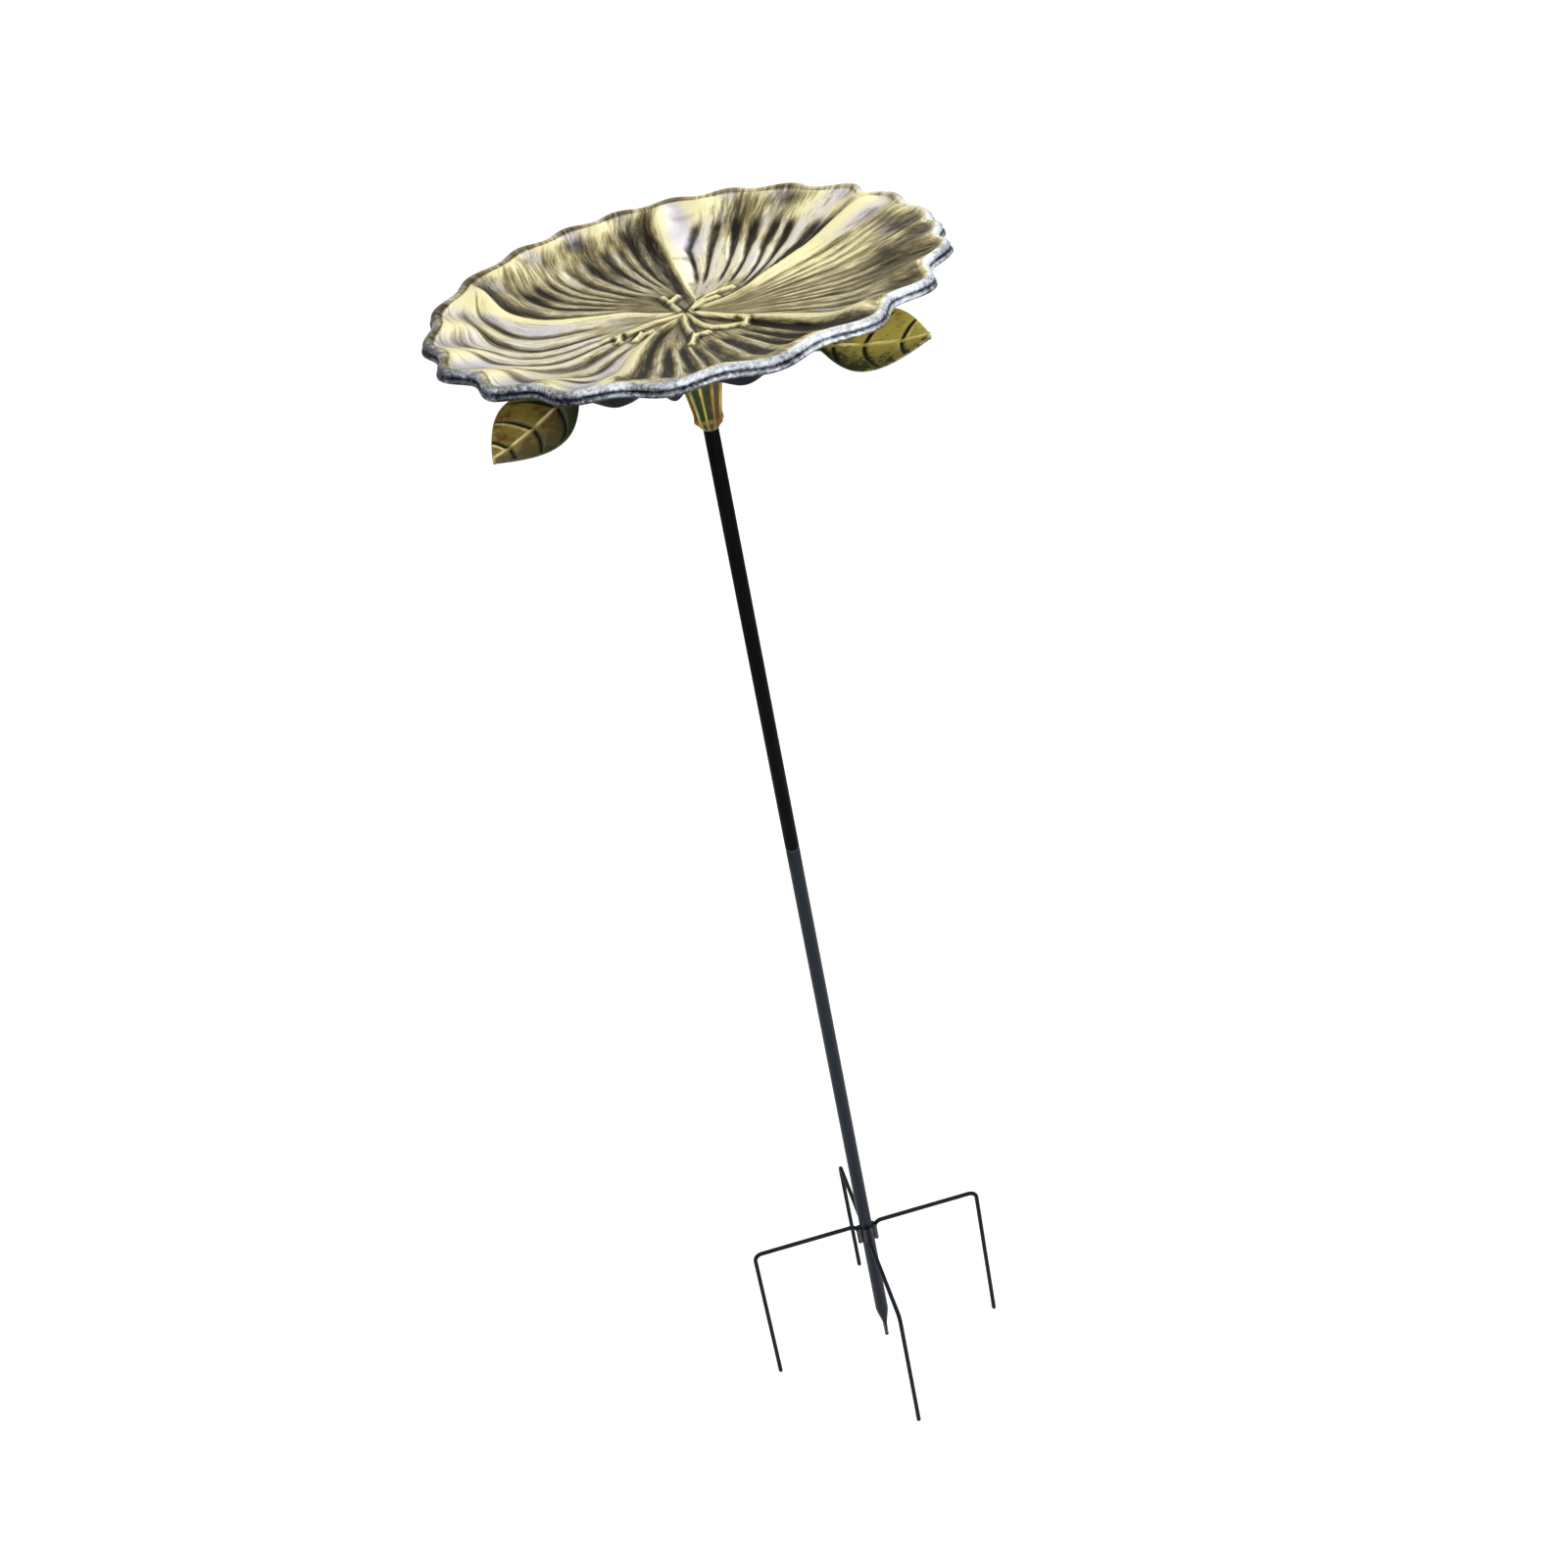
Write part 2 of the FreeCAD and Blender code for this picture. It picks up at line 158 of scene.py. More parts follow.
# ---- shader maths --------------------------------------------------------------------------------
class Val:
    """A shader socket that can be used in sums like a number."""

    def __init__(self, paint, socket):
        self.paint = paint
        self.socket = socket

    def maths(self, operation, other, swap=False):
        pair = (other, self) if swap else (self, other)
        return self.paint.node("ShaderNodeMath", {"operation": operation}, *pair)

    def __add__(self, other):
        return self.maths("ADD", other)

    def __sub__(self, other):
        return self.maths("SUBTRACT", other)

    def __rsub__(self, other):
        return self.maths("SUBTRACT", other, True)

    def __mul__(self, other):
        return self.maths("MULTIPLY", other)

    __radd__ = __add__
    __rmul__ = __mul__

    def limited(self):
        return self.paint.node("ShaderNodeClamp", {}, self)

    def out(self, name):
        return Val(self.paint, self.socket.node.outputs[name])


class Paint:
    """A material under construction: one surface shader and the nodes that feed it."""

    def __init__(self, name):
        self.material = bpy.data.materials.new(name)
        self.material.use_nodes = True
        self.tree = self.material.node_tree
        self.tree.nodes.clear()
        self.surface = self.tree.nodes.new("ShaderNodeBsdfPrincipled")
        output = self.tree.nodes.new("ShaderNodeOutputMaterial")
        self.tree.links.new(self.surface.outputs["BSDF"], output.inputs["Surface"])
        self.place = self.node("ShaderNodeTexCoord", {}).out("Object")

    def node(self, kind, settings, *ordered, **named):
        """A node with its settings made first, then its sockets filled by order or by name."""
        made = self.tree.nodes.new(kind)
        stops = settings.pop("stops", None)
        for key, value in settings.items():
            setattr(made, key, value)
        if stops:
            ramp = made.color_ramp
            while len(ramp.elements) < len(stops):
                ramp.elements.new(0.5)
            for element, (at, shade) in zip(ramp.elements, stops):
                element.position = at
                element.color = (*shade, 1.0) if hasattr(shade, "__len__") else (shade, shade, shade, 1.0)
        for at, value in list(enumerate(ordered)) + list(named.items()):
            self.fill(made.inputs[at], value)
        return Val(self, next(o for o in made.outputs if o.enabled))

    def fill(self, socket, value):
        if isinstance(value, Val):
            self.tree.links.new(value.socket, socket)
        elif socket.type == "RGBA" and len(value) == 3:
            socket.default_value = (*value, 1.0)
        else:
            socket.default_value = value

    def mix(self, share, first, second):
        """Colour between first and second."""
        made = self.tree.nodes.new("ShaderNodeMix")
        made.data_type = "RGBA"
        for name, value in (("Factor_Float", share), ("A_Color", first), ("B_Color", second)):
            self.fill(next(s for s in made.inputs if s.identifier == name), value)
        return Val(self, next(s for s in made.outputs if s.identifier == "Result_Color"))

    def noise(self, scale, detail=4.0, rough=0.6, where=None):
        return self.node("ShaderNodeTexNoise", {}, Vector=where or self.place, Scale=scale, Detail=detail,
                         Roughness=rough)

    def steps(self, value, *stops):
        """A ramp through (place, shade or colour) stops."""
        return self.node("ShaderNodeValToRGB", {"stops": stops}, value)

    def marked(self, name):
        """A number stored on the piece's vertices."""
        return self.node("ShaderNodeAttribute", {"attribute_name": name}).out("Fac")

    def stretched(self, x, y, z):
        return self.node("ShaderNodeMapping", {}, Vector=self.place, Scale=(x, y, z))

    def bumps(self, *layers):
        """Height layers of (value, depth in metres), stacked into one normal."""
        normal = None
        for height, depth in layers:
            bump = self.node("ShaderNodeBump", {}, Height=height, Distance=depth)
            if normal:
                self.fill(bump.socket.node.inputs["Normal"], normal)
            normal = bump
        self.fill(self.surface.inputs["Normal"], normal)

    def finish(self, **sockets):
        for name, value in sockets.items():
            self.fill(self.surface.inputs[name.replace("_", " ")], value)
        return self.material


def colours():
    return bpy.context.scene.feeder_colours


def times(share, colour):
    """A darker or lighter shade of a colour."""
    return tuple(share * c for c in colour)


def dish_paint():
    """Cast aluminium under brushed washes with painted light and shade: cream ridges, lilac flutes, dark
    hollows.
    """
    paint = Paint("dish_champagne_wash")
    tone = colours()
    level = paint.marked("level")
    band = paint.marked("band")
    cool = paint.marked("cool")
    sweep = paint.marked("sweep")
    flat = paint.node("ShaderNodeVectorMath", {"operation": "MULTIPLY"}, paint.place, (1.0, 1.0, 0.0))
    reach = paint.node("ShaderNodeVectorMath", {"operation": "LENGTH"}, flat).out("Value")
    brushed = paint.node("ShaderNodeCombineXYZ", {}, sweep, reach * 0.11, 0.0)
    strokes = paint.noise(400.0, 5.0, 0.7, brushed)
    broad = paint.noise(105.0, 4.0, 0.6, brushed)
    fine = paint.noise(900.0, 3.0, 0.65, brushed)
    patch = paint.noise(46.0, 5.0, 0.6)
    grain = paint.noise(1100.0, 3.0, 0.6)
    wear = ((strokes - 0.5) * 2.5 + (broad - 0.5) * 1.6 + (fine - 0.5) * 1.5 + (patch - 0.5) * 0.8
            + (grain - 0.5) * 0.6)
    # Brightness of the wash: rubbed wear from the noise, and the painted highlight and shade carried in level
    wear_and_painted_light = (level * 1.04 - 0.04 + wear * 0.56).limited()
    warm = paint.steps(wear_and_painted_light, (0.0, tuple(tone.patina)), (0.26, times(0.42, tone.olive)),
                       (0.48, tuple(tone.olive)), (0.70, tuple(tone.khaki)), (0.96, tuple(tone.cream)))
    chill = paint.steps(wear_and_painted_light, (0.0, tuple(tone.ink)), (0.34, times(0.22, tone.lilac)),
                        (0.66, times(0.68, tone.lilac)), (0.97, times(1.15, tone.lilac)))
    lean = (cool * 1.25 + (broad - 0.5) * 1.7 + (patch - 0.5) * 1.4 - 0.36).limited()
    body = paint.mix(lean, warm, chill)
    flecks = paint.noise(420.0, 4.0, 0.7)
    # The outer edge's silver to ink ramp follows level, with its painted highlight and shade
    rim_level = (level + (flecks - 0.5) * 1.3 + (patch - 0.5) * 1.4).limited()
    rim = paint.steps(rim_level, (0.0, tuple(tone.ink)), (0.34, times(0.16, tone.silver)),
                      (0.62, times(0.62, tone.silver)), (0.95, times(1.2, tone.silver)))
    body = paint.mix(band, body, rim)
    rough = 0.50 - wear_and_painted_light * 0.16 + (grain - 0.5) * 0.2
    paint.bumps((grain, 0.00018), (strokes, 0.00035), (flecks, 0.00012))
    return paint.finish(Base_Color=body, Roughness=rough, Metallic=wear_and_painted_light * 0.30, Specular_IOR_Level=0.05)


def leaf_paint(name, warmth, painted_brightness):
    """Antique gold over dark moss green, rubbed bright along the ribs, with painted light and shade over it.

    warmth is how brown the gold is, and glow how much brighter or darker the gold is painted in place of
    light."""
    paint = Paint(name)
    tone = colours()
    groove = paint.marked("groove")
    rib = paint.marked("rib")
    shade = paint.marked("shade")
    patch = paint.noise(75.0, 5.0, 0.65)
    brushed = paint.noise(300.0, 5.0, 0.7)
    grain = paint.noise(1500.0, 3.0, 0.6)
    # Where the gold shows: painted light on the lit parts and moss in the painted shade, broken by rubbed
    # wear
    wear_and_painted_light = (1.0 - shade * 1.15 + (patch - 0.5) * 1.7 + (brushed - 0.5) * 1.3 + (grain - 0.5) * 0.4).limited()
    # painted light: glow makes the gold and bronze brighter or darker in place of the light on each leaf
    gold = paint.mix((warmth + (patch - 0.5) * 2.4 + (brushed - 0.5) * 1.2).limited(),
                     tuple(min(1.0, painted_brightness * c) for c in tone.gold), times(painted_brightness, tone.bronze))
    body = paint.mix(wear_and_painted_light, times(2.6, tone.moss), gold)
    # Pale gold along the ribs: rubbed on the midrib, and a painted highlight on the lit side's vein lips
    body = paint.mix((rib * 1.1 + (brushed - 0.5) * 0.5 * rib).limited(), body, (0.92, 0.82, 0.40))
    body = paint.mix((groove * 1.25 + (0.5 - brushed) * 0.5 * groove).limited(), body, tuple(tone.moss))
    paint.bumps((brushed, 0.0003), (grain, 0.00010))
    return paint.finish(Base_Color=body, Roughness=0.34 + grain * 0.2, Metallic=wear_and_painted_light * 0.5,
                        Specular_IOR_Level=0.25)


def calyx_paint():
    """Glossy antique gold with green and brown left between the ribs."""
    paint = Paint("calyx_antique_gold")
    tone = colours()
    groove = paint.marked("groove")
    patch = paint.noise(110.0, 4.0, 0.6, paint.stretched(1.0, 1.0, 0.3))
    grain = paint.noise(1400.0, 3.0, 0.6)
    gold = paint.mix(paint.steps(patch, (0.38, 0.0), (0.58, 1.0)), times(0.55, tone.gold),
                     times(0.8, tone.bronze))
    hollow = paint.mix(paint.steps(patch, (0.45, 0.0), (0.55, 1.0)), (0.006, 0.020, 0.004),
                       times(0.30, tone.bronze))
    green = paint.mix((groove * 1.2 + (0.5 - grain) * 0.4).limited(), gold, hollow)
    paint.bumps((grain, 0.00012), (patch, 0.0003))
    return paint.finish(Base_Color=green, Roughness=0.26 + grain * 0.18, Metallic=0.6,
                        Specular_IOR_Level=0.35)


def powder_coat(name, colour, gloss, scratch, shine):
    """Satin powder coat: fine orange peel, dust and a few rubbed streaks along the length."""
    paint = Paint(name)
    peel = paint.noise(1500.0, 2.0, 0.5)
    dust = paint.noise(55.0, 6.0, 0.7)
    along = paint.noise(420.0, 5.0, 0.75, paint.stretched(1.0, 1.0, 0.03))
    rubbed = paint.steps(along, (0.58, 0.0), (0.72, 1.0)) * scratch
    lighter = tuple(min(1.0, 2.4 * c + 0.006) for c in colour)
    body = paint.mix((rubbed + (dust - 0.5) * 0.5).limited(), colour, lighter)
    paint.bumps((peel, 0.00009), (along, 0.00005))
    rough = gloss + (dust - 0.5) * 0.22 + rubbed * 0.1
    return paint.finish(Base_Color=body, Roughness=rough, Specular_IOR_Level=shine)


def weld_metal():
    """Weld runs under the same paint, with burnt brown in the hollows."""
    paint = Paint("painted_weld")
    tone = colours()
    scale = paint.noise(900.0, 4.0, 0.65)
    burn = paint.steps(paint.noise(260.0, 3.0, 0.6), (0.45, 0.0), (0.62, 1.0))
    body = paint.mix(burn * 0.6, tuple(tone.slate), (0.035, 0.022, 0.014))
    paint.bumps((scale, 0.0003))
    return paint.finish(Base_Color=body, Roughness=0.42 + scale * 0.25, Metallic=0.15)


def zinc_plate():
    """Bright zinc plating with turned lines and a faint yellow passivation."""
    paint = Paint("zinc_plate")
    tone = colours()
    turned = paint.noise(2400.0, 3.0, 0.6, paint.stretched(0.06, 0.06, 1.0))
    cloud = paint.noise(300.0, 4.0, 0.6)
    body = paint.mix(paint.steps(cloud, (0.42, 0.0), (0.64, 1.0)) * 0.4, tuple(tone.zinc),
                     (0.55, 0.48, 0.30))
    paint.bumps((turned, 0.00005))
    return paint.finish(Base_Color=body, Roughness=0.26 + turned * 0.2, Metallic=0.95)


def fibre_board():
    """Vulcanised fibre: red-brown with short pale strands."""
    paint = Paint("vulcanised_fibre")
    tone = colours()
    strand = paint.noise(1100.0, 5.0, 0.7, paint.stretched(1.0, 0.4, 2.0))
    body = paint.mix(paint.steps(strand, (0.5, 0.0), (0.66, 1.0)) * 0.6, tuple(tone.fibre),
                     (0.34, 0.15, 0.09))
    paint.bumps((strand, 0.00015))
    return paint.finish(Base_Color=body, Roughness=0.62 + strand * 0.2)


# ---- mesh helpers --------------------------------------------------------------------------------
def clear_selection():
    if bpy.context.object and bpy.context.object.mode != "OBJECT":
        bpy.ops.object.mode_set(mode="OBJECT")
    bpy.ops.object.select_all(action="DESELECT")


def named(name):
    """The piece an operator has just added, under its own name."""
    piece = bpy.context.object
    piece.name = name
    piece.data.name = name
    return piece


def pick(piece, *others):
    """Selects these pieces alone and makes the first one active."""
    clear_selection()
    for each in (piece, *others):
        each.select_set(True)
    bpy.context.view_layer.objects.active = piece


def edit(piece):
    """Puts one piece, alone, in edit mode with nothing selected."""
    pick(piece)
    bpy.ops.object.mode_set(mode="EDIT")
    bpy.ops.mesh.select_all(action="DESELECT")


def close_up(piece, gap=1e-6):
    """Welds touching vertices and turns every face outwards."""
    edit(piece)
    bpy.ops.mesh.select_all(action="SELECT")
    bpy.ops.mesh.remove_doubles(threshold=gap)
    bpy.ops.mesh.normals_make_consistent(inside=False)
    bpy.ops.object.mode_set(mode="OBJECT")


def rolled_grid(name, around, along, shape):
    """A grid rolled into a closed skin: shape(turn, row) gives x, y, z in metres for every vertex.

    turn runs 0 to 1 round the skin and row counts the grid's rings from 0. shape also gives a dict of
    numbers that are kept on the vertices for the materials."""
    clear_selection()
    bpy.ops.mesh.primitive_grid_add(x_subdivisions=around, y_subdivisions=along, size=2)
    piece = named(name)
    mesh = piece.data
    flat = np.empty(len(mesh.vertices) * 3)
    mesh.vertices.foreach_get("co", flat)
    flat = flat.reshape(-1, 3)
    turn = np.round((flat[:, 0] + 1) / 2 * around) / around
    row = np.round((flat[:, 1] + 1) / 2 * along).astype(int)
    places, marks = shape(turn % 1.0, row)
    mesh.vertices.foreach_set("co", places.astype(np.float32).ravel())
    for mark, values in marks.items():
        layer = mesh.attributes.new(mark, "FLOAT", "POINT")
        layer.data.foreach_set("value", values.astype(np.float32))
    mesh.update()
    close_up(piece)
    return piece


def smooth_step(low, high, value):
    share = np.clip((value - low) / (high - low), 0.0, 1.0)
    return share * share * (3 - 2 * share)


def bell(value, width):
    return np.exp(-(value / width) ** 2)


def soften(piece, angle=40):
    """Shades the piece smooth, but keeps edges sharper than the angle."""
    pick(piece)
    bpy.ops.object.shade_smooth_by_angle(angle=math.radians(angle))
    clear_selection()


def place_piece(piece, body, slot, material, *nodes):
    piece.data.materials.clear()
    piece.data.materials.append(material)
    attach(piece, body)
    if nodes:
        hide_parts(*nodes)


# ---- the flower dish -----------------------------------------------------------------------------
# The edge's outward swings: direction in degrees about +Z from +X, and size in mm.
SCALLOPS = (
    (4.5, 1.0), (21.5, 3.2), (35.5, 5.0), (52.0, 2.8), (67.0, 3.0), (81.5, 2.8), (96.0, 2.6),
    (110.0, 2.9), (124.5, 3.0), (143.0, 2.4), (161.5, 2.2), (181.0, 2.4), (198.0, 3.6), (217.0, 5.0),
    (234.5, 3.8), (256.0, 3.9), (278.0, 4.6), (303.0, 5.0), (323.5, 5.4), (344.0, 3.6), (356.0, 1.4),
)

# Each rolled petal edge: the side it stands over (+1 anticlockwise), and (radius mm, direction deg) along it.
PETAL_EDGES = {
    "right_upper": (1, ((0, 18), (24, 13.5), (54, 23.8), (85, 27), (115, 27.5), (150, 26))),
    "top_left": (1, ((0, 40), (14, 62), (24, 74), (35, 80.5), (60, 85.5), (95, 86.5), (125, 87.0),
                     (150, 84))),
    "left_upper": (-1, ((0, 172), (18, 158), (35, 152), (53, 159.5), (80, 163), (107, 158.5), (123, 152.4),
                        (150, 143))),
    "bottom_left": (1, ((0, 245), (12, 222), (24, 220), (50, 231), (81, 238), (110, 241), (150, 243))),
    "right_lower": (-1, ((0, 318), (40, 312), (77, 311), (110, 310), (150, 306))),
}

# Each petal, anticlockwise: first edge, last edge, number of flutes, depth share, inner and outer radius
# in mm, level of its paint, how cool it is, and how narrow its grooves are.
PETALS = (
    ("right_lower", "right_upper", 14, 0.22, 40, 118, 0.68, 0.05, 1.6),
    ("right_upper", "top_left", 7, 1.10, 40, 123, 0.80, 0.42, 0.0),
    ("top_left", "left_upper", 12, 0.42, 42, 116, 0.64, 0.26, 2.2),
    ("left_upper", "bottom_left", 8, 0.70, 46, 136, 0.80, 0.50, 3.0),
    ("bottom_left", "right_lower", 9, 0.85, 48, 118, 0.64, 0.16, 1.1),
)

# The back petal's grooves, as directions in degrees at three radii in mm.
BACK_GROOVES = {
    48: (25.0, 28.0, 31.0, 35.0, 45.5, 54.8, 66.7, 72.3),
    90: (30.5, 33.6, 40.8, 47.5, 54.0, 60.2, 69.3, 78.0),
    116: (30.8, 35.2, 43.9, 49.2, 56.0, 62.5, 68.5, 75.2),
}

# Darker and paler patches: direction deg, radius mm, spread deg, spread mm, change of level, how cool.
DARK_AND_PALE_PATCHES = (
    (61, 124, 4, 20, -0.55, 0.1), (48, 134, 5, 7, -0.45, 0.0), (56, 141, 4, 5, 0.05, 0.7),
    (111, 94, 5, 24, -0.30, 0.4), (96, 113, 3.5, 14, -0.45, 0.4), (113, 128, 4, 7, -0.35, 0.7),
    (12, 128, 6, 8, -0.35, 0.8), (2, 136, 9, 9, -0.50, 0.0), (350, 117, 12, 9, -0.45, 0.1),
    (335, 132, 16, 12, -0.30, 0.0), (297, 106, 6, 32, -0.45, 0.0), (141, 103, 5, 10, -0.45, 0.4),
    (197, 145, 8, 5, -0.35, 0.0), (227, 143, 5, 4, -0.30, 0.0), (86, 124, 3, 16, 0.30, 0.0),
    (77, 139, 5, 7, 0.30, 0.0), (31, 128, 6, 9, 0.40, 0.0), (24, 138, 6, 6, 0.30, 0.0),
    (15, 84, 10, 32, 0.28, 0.0), (6, 100, 6, 9, 0.20, 0.0), (135, 147, 30, 12, 0.28, 0.0),
    (101, 134, 6, 6, 0.25, 0.0), (70, 133, 5, 8, 0.20, 0.0), (158, 110, 3, 34, 0.22, 0.0),
    (79, 98, 5, 24, 0.10, 0.9), (318, 140, 14, 6, -0.30, 0.0), (206, 118, 20, 26, 0.06, 0.5),
)

# Folds under the front edge: direction and spread in degrees.
HANGING_FOLDS = ((243.0, 5.0), (256.5, 2.5), (272.0, 5.0))
FOLD_DEPTH = 7.0

# The rolled edge from inside to outside: mm inwards from the rim, mm down from its top, and how bright:
# rubbed wash, and painted highlight along the top of the roll.
ROLLED_EDGE = (
    (7.6, 0.9, 0.74), (6.8, 0.1, 0.82), (5.8, -0.4, 0.92), (4.7, -0.4, 0.90), (3.6, -0.2, 0.82),
    (2.6, 0.4, 0.78), (1.8, 1.2, 0.72), (1.4, 2.2, 0.52), (1.7, 3.1, 0.12), (1.8, 3.7, 0.08),
    (0.9, 4.3, 0.46), (0.2, 5.1, 0.60), (0.2, 6.0, 0.30), (1.2, 6.9, 0.0), (3.4, 7.2, 0.0),
    (6.0, 6.4, 0.0),
)

# The boss and its tapped hole, from the underside inwards: radius and height in mm.
BOSS = ((19.0, 840.5), (15.5, 833.0), (12.0, 826.0), (10.6, 824.25), (3.4, 824.2), (2.55, 824.7),
        (2.55, 838.0), (0.0, 838.0))

# Stamens lying on the floor, as runs of points in mm from the pole's axis.
STAMENS = (
    ((-3, 0), (-5, 11), (-7, 21), (-9, 31)),
    ((-7, 21), (-1, 28)),
    ((0, 0), (8, 11), (16, 18), (24, 21), (31, 22)),
    ((5, 4), (12, 11), (20, 13)),
    ((1, -2), (12, -13), (19, -21), (26, -27)),
    ((-1, -3), (1, -14), (4, -25), (9, -33), (16, -37), (24, -39)),
    ((27, -26), (28, -33), (25, -41)),
    ((-3, -3), (-5, -17), (-5, -28), (-4, -39)),
    ((-4, -39), (4, -38)),
    ((-4, -39), (-8, -50)),
    ((-4, -2), (-20, -4), (-29, -7), (-37, -11), (-44, -15)),
    ((-44, -15), (-52, -16)),
    ((-44, -15), (-45, -22)),
    ((-24, -17), (-33, -21)),
    ((-31, -16), (-33, -21), (-36, -25)),
)


def edge_direction(name, radius):
    """Direction in radians of a petal edge at each radius in mm, bent smoothly through its points."""
    radii, degrees = zip(*PETAL_EDGES[name][1])
    fine = np.linspace(0, 150, 151)
    line = np.interp(fine, radii, degrees)
    soft = np.convolve(np.pad(line, 6, mode="edge"), np.ones(13) / 13, mode="valid")
    return np.radians(np.interp(radius, fine, soft))


def back_groove(radius, direction):
    """Depth share of the back petal's grooves: narrow lines that open out towards the edge."""
    lines = [np.radians(np.interp(radius, list(BACK_GROOVES), places))
             for places in zip(*BACK_GROOVES.values())]
    count = np.zeros_like(radius)
    for here, after in zip(lines, lines[1:]):
        count += np.clip((direction - here) / (after - here), 0, 1)
    gap = np.min(np.abs(direction - np.stack(lines)), 0) * radius
    return bell(gap, 1.2 + 2.3 * smooth_step(72, 116, radius)), count


def turn_from(start, direction):
    """Anticlockwise angle from start to direction, 0 to a full turn."""
    return np.mod(direction - start, TAU)


def signed_turn(start, direction):
    return np.mod(direction - start + math.pi, TAU) - math.pi


def edge_swing(direction):
    """How far the edge swings out or in, in mm, and where it is in its wave, from -1 (in) to 1 (out)."""
    turns, sizes = np.array(SCALLOPS).T
    ends = np.concatenate(([turns[-1] - 360], turns, [turns[0] + 360]))
    outs = np.concatenate((sizes[-1:], sizes, sizes[:1]))
    degrees = np.mod(np.degrees(direction), 360)
    wave = np.cos(TAU * np.interp(degrees, ends, np.arange(len(ends))))
    return np.interp(degrees, ends, outs) * wave, wave


def distance_to_run(x, y, run):
    best = np.full(x.shape, 1e9)
    for (ax, ay), (bx, by) in zip(run[:-1], run[1:]):
        span_x, span_y = bx - ax, by - ay
        share = np.clip(((x - ax) * span_x + (y - ay) * span_y) / (span_x ** 2 + span_y ** 2), 0, 1)
        best = np.minimum(best, np.hypot(x - ax - share * span_x, y - ay - share * span_y))
    return best


